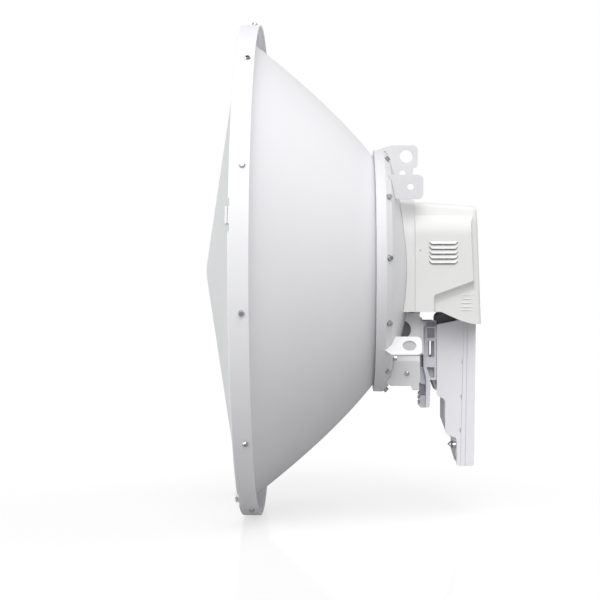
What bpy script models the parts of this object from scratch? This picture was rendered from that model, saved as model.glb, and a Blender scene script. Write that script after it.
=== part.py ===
"""Shrouded 650 mm dish antenna of a wireless bridge, with its radio and radio cover.

Metres, +Z up. The dish points along -X and its axis is level. All pieces hang under one empty, the
dish frame, whose X axis is the dish's axis and whose origin is the middle of the rim's back plane.
The empty is placed so that the world origin lies on the outer face of the near bracket cheek, where
the pole bracket is bolted on.
"""

import math

import bmesh
import bpy
import numpy as np
from mathutils import Matrix, Vector

# General
TURN_STEPS = 72
HOLE_STEPS = 20
GAP = 0.0003
MERGE = 0.00001

# Where the pole bracket's face lies in the dish frame, which becomes the world origin
MOUNT_POINT = Vector((0.1800, -0.0655, -0.1350))

# Rim hoop
RIM_RADIUS = 0.3250
RIM_WIDTH = 0.0240
RIM_SHEET = 0.0016
RIM_LIP = 0.0080
CLIP_COUNT = 5
CLIP_FIRST_ANGLE = math.radians(10.0)
CLIP_WIDTH = 0.0200
CLIP_THICKNESS = 0.0028
CLIP_NOTCH_WIDTH = 0.0090
CLIP_NOTCH_DEPTH = 0.0019

# Radome
RADOME_SLOPE = 0.176
RADOME_WALL = 0.0022
RADOME_FLAT = 0.0090
RADOME_TIP_ROUND = 0.0100
RADOME_FACE = -RIM_WIDTH + RIM_SHEET + GAP

# Reflector bowl: radius squared = rim radius squared - 4 f x + easing x squared
BOWL_RADIUS = 0.2955
BOWL_FOCUS = 0.1192
BOWL_EASING = 0.295
BOWL_WALL = 0.0020
BOWL_RINGS = 9
BOWL_TAIL = 0.1502
LIP_BACK = -0.0030

# Hub
RING_RADIUS = 0.1616
RING_FRONT = 0.1477
RING_CHAMFER_START = 0.1602
RING_BACK = 0.1677
RING_BACK_RADIUS = 0.1535
RING_SEAT_RADIUS = 0.1530
RING_BORE = 0.1480
RING_EDGE = 0.0010
HUB_SLOPE = 0.303
HUB_FLAT_RADIUS = 0.0800
HUB_SHEET = 0.0030
HUB_CLEARANCE = 0.0004

# Bracket cheeks and ears; the lower part of a cheek stands out from its upper part
SHEET = 0.0030
CHEEK_Y = 0.0655
CHEEK_JOG = 0.0045
CHEEK_BACK = 0.2035
CHEEK_UPPER_BACK = 0.2068
CHEEK_TOP = -0.0560
CHEEK_TOP_ROUND = 0.0040
CHEEK_BEND_TOP = -0.1117
CHEEK_BEND_LOW = -0.1182
CHEEK_BOTTOM = -0.1507
CHEEK_TAB = -0.1535
CHEEK_TAB_FRONT = 0.1951
CHEEK_TAB_ROUND = 0.0015
NOTCH_X = 0.1829
NOTCH_Z = -0.0775
NOTCH_RADIUS = 0.0113
BRACKET_FRONT = 0.1540
EAR_CORNER = 0.0050
SIDE_EAR_Y = 0.1040
SIDE_EAR_LOW = 0.0890
SIDE_EAR_HIGH = 0.1200
SIDE_EAR_BACK = 0.2086
SIDE_EAR_HOLE = (0.1925, 0.1048)
BOLT_HOLE_RADIUS = 0.00415
ROD_HOLE_RADIUS = 0.0090
TOP_EAR_HIGH = 0.1756
TOP_EAR_STEP = 0.1447
TOP_EAR_LOW = 0.1040
TOP_EAR_BACK = 0.2116
TOP_EAR_NARROW_BACK = 0.2051
TOP_EAR_FRONT = 0.1565
TOP_EAR_SHOULDER = (0.1745, 0.1695)
TOP_EAR_NECK_ROUND = 0.0020
TOP_EAR_ROD_HOLE = (0.1954, 0.1604)
TOP_EAR_BOLT_HOLE = (0.1906, 0.1371)
SLANT_EAR_CENTRE = (-0.1210, -0.0958)
SLANT_EAR_WIDTH = 0.0300
SLANT_EAR_BACK = 0.2055
SLANT_EAR_HOLE_X = 0.1900
SLANT_EAR_TIP = (0.1585, -0.0070)
SLANT_EAR_EDGE_START = 0.1672
SLANT_EAR_EDGE_ROUND = 0.0030

# Radio cover
COLLAR_FRONT = 0.1700
COLLAR_BACK = 0.1991
COLLAR_HALF_WIDTH = 0.0854
COLLAR_TOP_FRONT = 0.0932
COLLAR_TOP_BACK = 0.0902
COVER_FRONT = COLLAR_BACK + GAP
COVER_BACK_HIGH = 0.2795
COVER_BACK_LOW = 0.2853
COVER_HALF_WIDTH = 0.0810
COVER_TOP_FRONT = 0.0882
COVER_TOP_BACK = 0.0826
COVER_BOTTOM = -0.0545
COVER_LOW_POINT = -0.0687
COVER_ROUND = 0.0280
COVER_BACK_ROUND = 0.0070
COVER_WALL = 0.0025
COVER_REACH = 0.0100
SKIRT_REAR = (0.2745, 0.0200)
SKIRT_MIDDLE = (0.2580, -0.0655)
SKIRT_FRONT = (0.2335, 0.0060)
BULGE_HALF_WIDTH = 0.0862
BULGE_TOP_PROUD = 0.0008
BULGE_BACK = 0.2725
BULGE_BACK_LEAN = 0.0010
BULGE_STEP_X = 0.2230
BULGE_STEP_Z = -0.0330
BULGE_STEP_ROUND = 0.0050
BULGE_END_Z = -0.0145
BULGE_END_ROUND = 0.0030
BULGE_EDGE = 0.0028
LOUVRE_COUNT = 5
LOUVRE_FRONT = 0.2171
LOUVRE_BACK = 0.2567
LOUVRE_TOP = 0.0330
LOUVRE_PITCH = 0.0060
LOUVRE_SLOT = 0.0022

# Radio mount and latch
MOUNT_CHEEK_OUTER = 0.0380
MOUNT_CHEEK_INNER = 0.0345
MOUNT_FRONT = 0.2139
MOUNT_BACK = 0.2300
MOUNT_TOP = -0.0660
MOUNT_KNEE = (0.2205, -0.1430)
MOUNT_SLOPE_TOP = -0.1240
MOUNT_FOOT = -0.1566
MOUNT_CORNER = 0.0015
WINDOW_CORNER = 0.0008
WINDOW_UPPER = (0.2178, -0.0890, 0.2276, -0.0760)
WINDOW_MIDDLE = (0.2190, -0.1140, 0.2270, -0.0930)
WINDOW_LOWER = (0.2180, -0.1395, 0.2275, -0.1275)
SPINE_BOTTOM = -0.1000
SPINE_BACK = 0.2184
CROSS_FRONT = 0.1990
CROSS_BACK = 0.2120
CROSS_BOTTOM = -0.1100
LATCH_HALF_WIDTH = 0.0140
LATCH_FRONT = 0.2123
LATCH_ARM = 0.0030
LATCH_TOP = -0.1103
LATCH_ELBOW = -0.1216
LATCH_KNEE = (0.2179, -0.1404)
LATCH_LEG = 0.0045
LATCH_FOOT = -0.1824
LATCH_FOOT_ROUND = 0.0018
GRIP_FRONT = 0.2085
GRIP_TOP = -0.1540
GRIP_RIBS = 5
GRIP_PITCH = 0.0050
GRIP_RIDGE = 0.0032
GRIP_GROOVE = 0.0041
GRIP_GROOVE_DEPTH = 0.0015

# Radio: its front steps back twice towards its foot, with rounded steps on the near side
# housing and sloping ones on the core and on the far side
RADIO_HALF_WIDTH = 0.0410
RADIO_CORE_HALF_WIDTH = 0.0360
RADIO_FRONT = 0.2303
RADIO_MIDDLE_FRONT = 0.2412
RADIO_FOOT_FRONT = 0.2562
RADIO_STEP_HIGH = -0.1645
RADIO_STEP_LOW = -0.2150
RADIO_STEP_FALL = 0.0055
RADIO_STEP_ROUND = 0.0050
RADIO_STEP_HOLLOW = 0.0040
RADIO_FOOT_ROUND = 0.0030
RADIO_SHOULDER = (-0.0712, 0.0020)
RADIO_CROWN = (0.2560, -0.0661)
CORE_MIDDLE_FRONT = 0.2406
CORE_FOOT_FRONT = 0.2552
CORE_HIGH_SLOPE = (-0.1495, -0.1731)
CORE_LOW_SLOPE = (-0.1985, -0.2195)
CORE_LEDGE_BACK = 0.2481
CORE_FOOT_TOP = -0.2256
CORE_FOOT_SLOPE = -0.2421
CORE_TOE_FRONT = 0.2609
CORE_SHOULDER = -0.0760
CORE_CROWN = (0.2560, -0.0690)
CORE_TOP = -0.0665
RADIO_SEAM = 0.2636
RADIO_BAND_BACK = 0.2695
RADIO_BACK_HIGH = 0.2816
RADIO_BACK_LOW = 0.2790
RADIO_BACK_ROUND = (0.0035, 0.0030)
RADIO_BACK_PROUD = 0.0005
RADIO_BOTTOM = -0.2570
RADIO_TOP = -0.0640
ADAPTER_FRONT = 0.2238
ADAPTER_TOP = 0.0100
ADAPTER_HALF_WIDTH = 0.0320
ADAPTER_FRONT_ROUND = 0.0050
ADAPTER_BACK_ROUND = 0.0030
GROUND_SCREW_Y = -0.0350
GROUND_SCREW_Z = -0.2301
GROUND_NUT_RADIUS = 0.0041
GROUND_NUT_HEIGHT = 0.0037
GROUND_STUD_RADIUS = 0.0022
GROUND_STUD_END = 0.2462
GROUND_STUD_TIP = 0.2440


# Scene and materials


def clear_scene():
    """Removes every object of the open scene."""
    for item in list(bpy.data.objects):
        bpy.data.objects.remove(item, do_unlink=True)


def make_collection(name):
    """Makes a collection below the scene's own."""
    group = bpy.data.collections.new(name)
    bpy.context.scene.collection.children.link(group)
    return group


def make_material(name, colour, roughness, metallic=0.0):
    """Makes a plain Principled material."""
    material = bpy.data.materials.new(name)
    material.use_nodes = True
    shader = material.node_tree.nodes["Principled BSDF"]
    shader.inputs["Base Color"].default_value = (*colour, 1.0)
    shader.inputs["Roughness"].default_value = roughness
    shader.inputs["Metallic"].default_value = metallic
    return material


clear_scene()
PARTS = make_collection("wireless_bridge_dish_antenna")
CUTTERS = make_collection("cutters")

DISH_FRAME = bpy.data.objects.new("dish_frame", None)
PARTS.objects.link(DISH_FRAME)
DISH_FRAME.location = -MOUNT_POINT

WHITE_PAINT = make_material("white_paint", (0.86, 0.86, 0.88), 0.45)
RADOME_GREY = make_material("radome_plastic", (0.62, 0.64, 0.63), 0.55)
BRACKET_PAINT = make_material("bracket_paint", (0.84, 0.84, 0.85), 0.50)
COVER_PLASTIC = make_material("cover_plastic", (0.85, 0.85, 0.83), 0.50)
MOUNT_PLASTIC = make_material("mount_plastic", (0.60, 0.60, 0.66), 0.55)
RADIO_PLASTIC = make_material("radio_plastic", (0.80, 0.80, 0.83), 0.45)
CORE_METAL = make_material("core_metal", (0.45, 0.46, 0.48), 0.40, 0.6)
BLACK_PLASTIC = make_material("black_plastic", (0.04, 0.04, 0.045), 0.55)
PLATED_STEEL = make_material("plated_steel", (0.60, 0.60, 0.60), 0.30, 1.0)


# Helpers that make solids


def place(name, mesh, material, location=(0.0, 0.0, 0.0), rotation=(0.0, 0.0, 0.0)):
    """Puts a mesh in the dish frame as a named part."""
    item = bpy.data.objects.new(name, mesh)
    PARTS.objects.link(item)
    item.parent = DISH_FRAME
    item.location = location
    item.rotation_euler = rotation
    if material is not None:
        mesh.materials.clear()
        mesh.materials.append(material)
    return item


def hide_as_cutter(item):
    """Moves a part to the cutters' collection, hidden in renders."""
    PARTS.objects.unlink(item)
    CUTTERS.objects.link(item)
    item.hide_render = True
    item.display_type = "WIRE"
    return item


def cut(item, cutter, operation="DIFFERENCE"):
    """Adds a Boolean with another object, on the exact solver."""
    step = item.modifiers.new(operation.lower() + "_" + cutter.name, "BOOLEAN")
    step.operation = operation
    step.solver = "EXACT"
    step.object = cutter
    return step


def apply_modifiers(item):
    """Turns the evaluated shape into the object's own mesh."""
    bpy.context.view_layer.update()
    depsgraph = bpy.context.evaluated_depsgraph_get()
    mesh = bpy.data.meshes.new_from_object(item.evaluated_get(depsgraph))
    item.modifiers.clear()
    item.data = mesh
    return item


def shade_round(item, angle=math.radians(35.0)):
    """Shades round faces smooth and keeps sharp edges."""
    item.data.shade_smooth()
    item.data.set_sharp_from_angle(angle=angle)


def turned(name, profile, material, closed=True, wall=None, steps=TURN_STEPS):
    """Turns a profile of (radius, distance along the dish axis) points about the dish axis."""
    count = len(profile)
    edges = [(index, index + 1) for index in range(count - 1)]
    if closed:
        edges.append((count - 1, 0))
    mesh = bpy.data.meshes.new(name)
    mesh.from_pydata([(radius, 0.0, along) for radius, along in profile], edges, [])
    item = place(name, mesh, material, rotation=(0.0, math.radians(90.0), 0.0))
    screw = item.modifiers.new("turn", "SCREW")
    screw.axis = "Z"
    screw.steps = steps
    screw.render_steps = steps
    screw.use_merge_vertices = True
    screw.merge_threshold = MERGE
    screw.use_smooth_shade = True
    if wall is not None:
        shell = item.modifiers.new("wall", "SOLIDIFY")
        shell.thickness = wall
        shell.offset = -1.0
        shell.use_even_offset = True
    apply_modifiers(item)
    shade_round(item)
    return item


def arc_points(centre, radius, start, end, count):
    """Points along an arc, both ends included."""
    angles = np.linspace(start, end, count)
    return [(centre[0] + radius * math.cos(a), centre[1] + radius * math.sin(a)) for a in angles]


def circle_points(centre, radius, count=HOLE_STEPS):
    """Points round a whole circle, the first one not repeated."""
    return arc_points(centre, radius, 0.0, 2.0 * math.pi, count + 1)[:-1]


def rounded(corners, steps=4):
    """An outline whose corners, given as (x, y, radius), are rounded by that radius."""
    outline = []
    count = len(corners)
    for index, (x, y, radius) in enumerate(corners):
        here = Vector((x, y))
        if radius <= 0.0:
            outline.append((x, y))
            continue
        to_last = (Vector(corners[index - 1][:2]) - here).normalized()
        to_next = (Vector(corners[(index + 1) % count][:2]) - here).normalized()
        half = to_last.angle(to_next) / 2.0
        reach = radius / math.tan(half)
        centre = here + (to_last + to_next).normalized() * (radius / math.sin(half))
        first = here + to_last * reach - centre
        last = here + to_next * reach - centre
        start = math.atan2(first.y, first.x)
        sweep = math.atan2(last.y, last.x) - start
        sweep = (sweep + math.pi) % (2.0 * math.pi) - math.pi
        outline += arc_points(centre, radius, start, start + sweep, steps + 1)
    return outline


def plate(name, outlines, thickness, material, location, rotation):
    """A flat plate from a filled 2D curve; the outlines after the first one are holes."""
    curve = bpy.data.curves.new(name + "_outline", "CURVE")
    curve.dimensions = "2D"
    curve.fill_mode = "BOTH"
    curve.extrude = thickness / 2.0
    for outline in outlines:
        spline = curve.splines.new("POLY")
        spline.points.add(len(outline) - 1)
        for point, (x, y) in zip(spline.points, outline):
            point.co = (x, y, 0.0, 1.0)
        spline.use_cyclic_u = True
    drawn = bpy.data.objects.new(name + "_outline", curve)
    PARTS.objects.link(drawn)
    bpy.context.view_layer.update()
    depsgraph = bpy.context.evaluated_depsgraph_get()
    mesh = bpy.data.meshes.new_from_object(drawn.evaluated_get(depsgraph))
    mesh.name = name
    bpy.data.objects.remove(drawn, do_unlink=True)
    work = bmesh.new()
    work.from_mesh(mesh)
    bmesh.ops.remove_doubles(work, verts=work.verts, dist=MERGE)
    bmesh.ops.recalc_face_normals(work, faces=work.faces)
    work.to_mesh(mesh)
    work.free()
    return place(name, mesh, material, location, rotation)


def upright_plate(name, outlines, thickness, material, middle_y):
    """A plate that stands along the dish: its outline holds (x, z) and its faces look along Y."""
    stand = (math.radians(90.0), 0.0, 0.0)
    return plate(name, outlines, thickness, material, (0.0, middle_y, 0.0), stand)


def bar(name, section, front, back, material):
    """A bar along the dish axis with a given cross-section: its outline holds (y, z)."""
    across = (math.radians(90.0), 0.0, math.radians(90.0))
    return plate(name, [section], back - front, material, ((front + back) / 2.0, 0.0, 0.0), across)


def block_mesh(name, low, high, edge=0.0, segments=2):
    """A box between two corners, with its edges rounded where edge is over zero."""
    low = Vector(low)
    high = Vector(high)
    work = bmesh.new()
    size = Matrix.Diagonal(high - low).to_4x4()
    bmesh.ops.create_cube(work, size=1.0, matrix=Matrix.Translation((low + high) / 2.0) @ size)
    if edge > 0.0:
        bmesh.ops.bevel(work, geom=list(work.edges), offset=edge, segments=segments, profile=0.5,
                        affect="EDGES", material=-1)
    mesh = bpy.data.meshes.new(name)
    work.to_mesh(mesh)
    work.free()
    return mesh


def block(name, low, high, material, edge=0.0, segments=2):
    """A box part between two corners of the dish frame."""
    item = place(name, block_mesh(name, low, high, edge, segments), material)
    if edge > 0.0:
        shade_round(item)
    return item


def hood_mesh(name, front, back_low, back_high, half_width, top_front, top_back, bottom, edge, back_edge):
    """A block with a falling top and a leaning back, rounded over its long top edges and its back."""
    work = bmesh.new()
    bmesh.ops.create_cube(work, size=2.0)
    for vertex in work.verts:
        at_back = vertex.co.x > 0.0
        at_top = vertex.co.z > 0.0
        x = front
        z = bottom
        if at_back:
            x = back_high if at_top else back_low
        if at_top:
            z = top_back if at_back else top_front
        vertex.co = (x, math.copysign(half_width, vertex.co.y), z)
    middle = (front + back_low) / 2.0
    long_top = []
    for rim in work.edges:
        ends = [vertex.co for vertex in rim.verts]
        high = all(end.z > 0.0 for end in ends)
        along = abs(ends[0].x - ends[1].x) > abs(front - back_high) / 2.0
        if high and along:
            long_top.append(rim)
    bmesh.ops.bevel(work, geom=long_top, offset=edge, segments=6, profile=0.5, affect="EDGES", material=-1)
    if back_edge > 0.0:
        behind = [rim for rim in work.edges if all(vertex.co.x > middle for vertex in rim.verts)
                  and not all(vertex.co.z < 0.0 for vertex in rim.verts)]
        bmesh.ops.bevel(work, geom=behind, offset=back_edge, segments=3, profile=0.5, affect="EDGES",
                        material=-1)
    mesh = bpy.data.meshes.new(name)
    work.to_mesh(mesh)
    work.free()
    return mesh


# Front: radome, rim hoop and its clips


def build_radome():
    """A shallow cone shell with a flat edge that the rim hoop holds."""
    edge = RIM_RADIUS - RIM_SHEET - GAP
    flat = edge - RADOME_FLAT
    tip = RADOME_FACE - RADOME_SLOPE * flat

    def face(radius):
        if radius < RADOME_TIP_ROUND:
            rounding = (radius ** 2 + RADOME_TIP_ROUND ** 2) / (2.0 * RADOME_TIP_ROUND)
            return tip + RADOME_SLOPE * rounding
        return tip + RADOME_SLOPE * radius

    radii = [flat, flat * 0.66, flat * 0.33, RADOME_TIP_ROUND, RADOME_TIP_ROUND / 2.0, 0.0]
    profile = [(edge, RADOME_FACE)] + [(radius, face(radius)) for radius in radii]
    return turned("radome", profile, RADOME_GREY, closed=False, wall=RADOME_WALL)


def clip_angles():
    """Angles of the rim clips, from the near side up."""
    return [CLIP_FIRST_ANGLE + index * 2.0 * math.pi / CLIP_COUNT for index in range(CLIP_COUNT)]


def rim_rotation(angle):
    """Turns a piece modelled at the near side (-Y) to its angle on the rim."""
    return Matrix.Rotation(-angle, 4, "X")


def build_rim_hoop():
    """The band round the reflector, with a front lip over the radome's edge and notches at the clips."""
    inner = RIM_RADIUS - RIM_SHEET
    lip = RIM_RADIUS - RIM_LIP
    profile = [
        (RIM_RADIUS, 0.0),
        (RIM_RADIUS, -RIM_WIDTH),
        (lip, -RIM_WIDTH),
        (lip, -RIM_WIDTH + RIM_SHEET),
        (inner, -RIM_WIDTH + RIM_SHEET),
        (inner, 0.0),
    ]
    hoop = turned("rim_hoop", profile, WHITE_PAINT)
    offset = (CLIP_WIDTH + CLIP_NOTCH_WIDTH) / 2.0
    joined = bmesh.new()
    for angle in clip_angles():
        for side in (-1.0, 1.0):
            mesh = block_mesh(
                "notch",
                (-RIM_WIDTH - 0.002, -RIM_RADIUS - 0.004, side * offset - CLIP_NOTCH_WIDTH / 2.0),
                (-RIM_WIDTH + CLIP_NOTCH_DEPTH, -lip + 0.004, side * offset + CLIP_NOTCH_WIDTH / 2.0),
            )
            mesh.transform(rim_rotation(angle))
            joined.from_mesh(mesh)
            bpy.data.meshes.remove(mesh)
    notches = bpy.data.meshes.new("rim_notches")
    joined.to_mesh(notches)
    joined.free()
    cutter = hide_as_cutter(place("rim_notches", notches, None))
    cut(hoop, cutter)
    return hoop


def build_rim_clips():
    """Small clips on the front of the hoop that hold the radome down."""
    for number, angle in enumerate(clip_angles(), start=1):
        mesh = block_mesh(
            "rim_clip_%d" % number,
            (-RIM_WIDTH - GAP - CLIP_THICKNESS, -RIM_RADIUS + 0.0005, -CLIP_WIDTH / 2.0),
            (-RIM_WIDTH - GAP, -RIM_RADIUS + RIM_LIP, CLIP_WIDTH / 2.0),
            0.0008,
        )
        mesh.transform(rim_rotation(angle))
        shade_round(place("rim_clip_%d" % number, mesh, WHITE_PAINT))


# Reflector and hub


def bowl_radius(along):
    """Outer radius of the reflector at a distance behind the rim's back plane."""
    return math.sqrt(BOWL_RADIUS ** 2 - 4.0 * BOWL_FOCUS * along + BOWL_EASING * along ** 2)


def build_reflector():
    """The deep bowl, with a flange and a back-turned lip inside the rim hoop."""
    flange = RADOME_FACE + RADOME_WALL + GAP + BOWL_WALL
    lip_radius = RIM_RADIUS - RIM_SHEET - GAP - BOWL_WALL
    bowl = [(bowl_radius(x), x) for x in np.linspace(BOWL_TAIL, flange, BOWL_RINGS)]
    profile = bowl + [(lip_radius, flange), (lip_radius, LIP_BACK)]
    return turned("reflector", profile, WHITE_PAINT, closed=False, wall=BOWL_WALL)


def hub_line(radius):
    """How far back the hub's cone lies at a radius."""
    return RING_BACK + HUB_SLOPE * (RING_BACK_RADIUS - radius)


def build_hub_ring():
    """The ring that clamps the back of the reflector, with a sloping bolt face and a seat for the plate."""
    seat_depth = HUB_SHEET * math.hypot(1.0, HUB_SLOPE) + GAP
    tail = bowl_radius(BOWL_TAIL) + 4.0 * GAP
    profile = [
        (RING_SEAT_RADIUS, hub_line(RING_SEAT_RADIUS)),
        (RING_BACK_RADIUS, RING_BACK),
        (RING_RADIUS, RING_CHAMFER_START),
        (RING_RADIUS, RING_FRONT + RING_EDGE),
        (RING_RADIUS - RING_EDGE, RING_FRONT),
        (bowl_radius(RING_FRONT) + GAP, RING_FRONT),
        (tail, BOWL_TAIL + 2.0 * GAP),
        (RING_BORE, BOWL_TAIL + BOWL_WALL),
        (RING_BORE, hub_line(RING_BORE) - seat_depth),
        (RING_SEAT_RADIUS, hub_line(RING_SEAT_RADIUS) - seat_depth),
    ]
    return turned("hub_ring", profile, BRACKET_PAINT)


def build_hub_plate():
    """The dished plate in the hub ring's seat, closed over the axis."""
    edge = RING_SEAT_RADIUS - GAP
    profile = [
        (0.0, hub_line(HUB_FLAT_RADIUS)),
        (HUB_FLAT_RADIUS, hub_line(HUB_FLAT_RADIUS)),
        (edge, hub_line(edge)),
    ]
    return turned("hub_plate", profile, BRACKET_PAINT, closed=False, wall=HUB_SHEET)


def build_hub_clearance():
    """A cutter slightly larger than the hub, for the pieces that are fitted to it."""
    front = RING_FRONT - 0.030
    flat = hub_line(HUB_FLAT_RADIUS) + HUB_CLEARANCE
    profile = [
        (0.0, flat),
        (HUB_FLAT_RADIUS, flat),
        (RING_BACK_RADIUS, RING_BACK + HUB_CLEARANCE),
        (RING_RADIUS + HUB_CLEARANCE, RING_CHAMFER_START + HUB_CLEARANCE),
        (RING_RADIUS + HUB_CLEARANCE, front),
        (0.0, front),
    ]
    return hide_as_cutter(turned("hub_clearance", profile, None, closed=False))


# Rear bracket: cheeks and ears


def cheek_outline():
    """Outline of a lower bracket cheek, as (x, z)."""
    return rounded([
        (BRACKET_FRONT, CHEEK_BOTTOM, 0.0),
        (CHEEK_TAB_FRONT, CHEEK_BOTTOM, 0.0),
        (CHEEK_TAB_FRONT, CHEEK_TAB, 0.0),
        (CHEEK_BACK, CHEEK_TAB, CHEEK_TAB_ROUND),
        (CHEEK_BACK, CHEEK_BEND_LOW, 0.0),
        (CHEEK_UPPER_BACK, CHEEK_BEND_TOP, 0.0),
        (CHEEK_UPPER_BACK, CHEEK_TOP, CHEEK_TOP_ROUND),
        (BRACKET_FRONT, CHEEK_TOP, 0.0),
    ])


def cheek_section(side):
    """Cross-section of a cheek's sheet, as (y, z): straight, bent outwards and straight again."""
    lean = math.atan2(CHEEK_JOG, CHEEK_BEND_TOP - CHEEK_BEND_LOW)
    drop = SHEET * math.tan(lean / 2.0)
    upper = CHEEK_Y - CHEEK_JOG
    outer = [
        (CHEEK_Y, 2.0 * CHEEK_TAB),
        (CHEEK_Y, CHEEK_BEND_LOW),
        (upper, CHEEK_BEND_TOP),
        (upper, 0.0),
    ]
    inner = [(y - SHEET, z - drop) for y, z in reversed(outer)]
    return [(side * y, z) for y, z in outer + inner]


def build_bracket_cheeks(hub):
    """The two lower cheeks of the rear bracket, one each side of the dish axis."""
    for side, label in ((-1.0, "near"), (1.0, "far")):
        cheek = bar("bracket_cheek_" + label, cheek_section(side), BRACKET_FRONT, CHEEK_UPPER_BACK + SHEET,
                    BRACKET_PAINT)
        side_view = upright_plate("cheek_side_view_" + label, [cheek_outline()], CHEEK_Y, None,
                                  side * CHEEK_Y)
        notch = upright_plate("cable_notch_" + label, [circle_points((NOTCH_X, NOTCH_Z), NOTCH_RADIUS)],
                              CHEEK_Y, None, side * CHEEK_Y)
        cut(cheek, hide_as_cutter(side_view), "INTERSECT")
        cut(cheek, hide_as_cutter(notch))
        cut(cheek, hub)


def build_side_ears(hub):
    """Two small bolted ears, above the axis on the near side and below it on the far side."""
    for side, label in ((-1.0, "upper_near"), (1.0, "lower_far")):
        low = SIDE_EAR_LOW
        high = SIDE_EAR_HIGH
        outline = rounded([
            (BRACKET_FRONT, low, 0.0),
            (SIDE_EAR_BACK, low, EAR_CORNER),
            (SIDE_EAR_BACK, high, EAR_CORNER),
            (BRACKET_FRONT, high, 0.0),
        ])
        hole = circle_points(SIDE_EAR_HOLE, BOLT_HOLE_RADIUS)
        if side > 0.0:
            outline = [(x, -z) for x, z in outline]
            hole = [(x, -z) for x, z in hole]
        ear = upright_plate("side_ear_" + label, [outline, hole], SHEET, BRACKET_PAINT,
                            side * (SIDE_EAR_Y - SHEET / 2.0))
        cut(ear, hub)


def build_top_ear(hub):
    """The tall far ear, with a large hole for the tilt rod and a bolt hole below it."""
    outline = rounded([
        (TOP_EAR_FRONT, TOP_EAR_LOW, 0.0),
        (TOP_EAR_NARROW_BACK, TOP_EAR_LOW, 0.0),
        (TOP_EAR_NARROW_BACK, TOP_EAR_STEP, TOP_EAR_NECK_ROUND),
        (TOP_EAR_BACK, TOP_EAR_STEP, EAR_CORNER),
        (TOP_EAR_BACK, TOP_EAR_HIGH, EAR_CORNER),
        (TOP_EAR_SHOULDER[0], TOP_EAR_HIGH, 0.0),
        (TOP_EAR_FRONT, TOP_EAR_SHOULDER[1], 0.0),
    ])
    rod_hole = circle_points(TOP_EAR_ROD_HOLE, ROD_HOLE_RADIUS)
    bolt_hole = circle_points(TOP_EAR_BOLT_HOLE, BOLT_HOLE_RADIUS)
    ear = upright_plate("top_ear_far", [outline, rod_hole, bolt_hole], SHEET, BRACKET_PAINT,
                        CHEEK_Y - SHEET / 2.0)
    cut(ear, hub)


def build_slant_ears(hub):
    """Two ears set at 45 degrees, below the axis on the near side and above it on the far side."""
    half = SLANT_EAR_WIDTH / 2.0
    for side, label in ((1.0, "lower_near"), (-1.0, "upper_far")):
        outline = rounded([
            (BRACKET_FRONT, side * SLANT_EAR_TIP[1], 0.0),
            (SLANT_EAR_TIP[0], side * SLANT_EAR_TIP[1], 0.0),
            (SLANT_EAR_EDGE_START, -side * half, SLANT_EAR_EDGE_ROUND),
            (SLANT_EAR_BACK, -side * half, EAR_CORNER),
            (SLANT_EAR_BACK, side * half, EAR_CORNER),
            (BRACKET_FRONT, side * half, 0.0),
        ])
        hole = circle_points((SLANT_EAR_HOLE_X, 0.0), ROD_HOLE_RADIUS)
        ear = plate("slant_ear_" + label, [outline, hole], SHEET, BRACKET_PAINT,
                    (0.0, side * SLANT_EAR_CENTRE[0], side * SLANT_EAR_CENTRE[1]),
                    (math.radians(45.0), 0.0, 0.0))
        cut(ear, hub)


# Radio cover


def build_cover_collar(hub):
    """The front part of the cover, fitted to the hub, open below and behind."""
    outer = hood_mesh("cover_collar", COLLAR_FRONT, COLLAR_BACK, COLLAR_BACK, COLLAR_HALF_WIDTH,
                      COLLAR_TOP_FRONT, COLLAR_TOP_BACK, COVER_BOTTOM, COVER_ROUND, 0.0)
    collar = place("cover_collar", outer, COVER_PLASTIC)
    inner = hood_mesh("collar_inside", COLLAR_FRONT - 0.01, COLLAR_BACK + 0.01, COLLAR_BACK + 0.01,
                      COLLAR_HALF_WIDTH - COVER_WALL, COLLAR_TOP_FRONT - COVER_WALL,
                      COLLAR_TOP_BACK - COVER_WALL, COVER_BOTTOM - 0.01, COVER_ROUND - COVER_WALL, 0.0)
    cut(collar, hide_as_cutter(place("collar_inside", inner, None)))
    cut(collar, hub)
    apply_modifiers(collar)
    shade_round(collar)
    return collar


def bulge_outline(wall):
    """Outline of the raised sides of the cover, as (x, z), less a wall, past the cover's top and front."""
    front = COVER_FRONT - 2.0 * COVER_REACH
    top = COVER_TOP_FRONT + COVER_REACH
    bottom = COVER_LOW_POINT - 2.0 * COVER_REACH
    return rounded([
        (front, bottom, 0.0),
        (BULGE_STEP_X - wall, bottom, 0.0),
        (BULGE_STEP_X - wall, BULGE_STEP_Z + wall, BULGE_STEP_ROUND),
        (BULGE_BACK - wall, BULGE_END_Z + wall, BULGE_END_ROUND),
        (BULGE_BACK - wall - BULGE_BACK_LEAN, top, 0.0),
        (front, top, 0.0),
    ])


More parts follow.
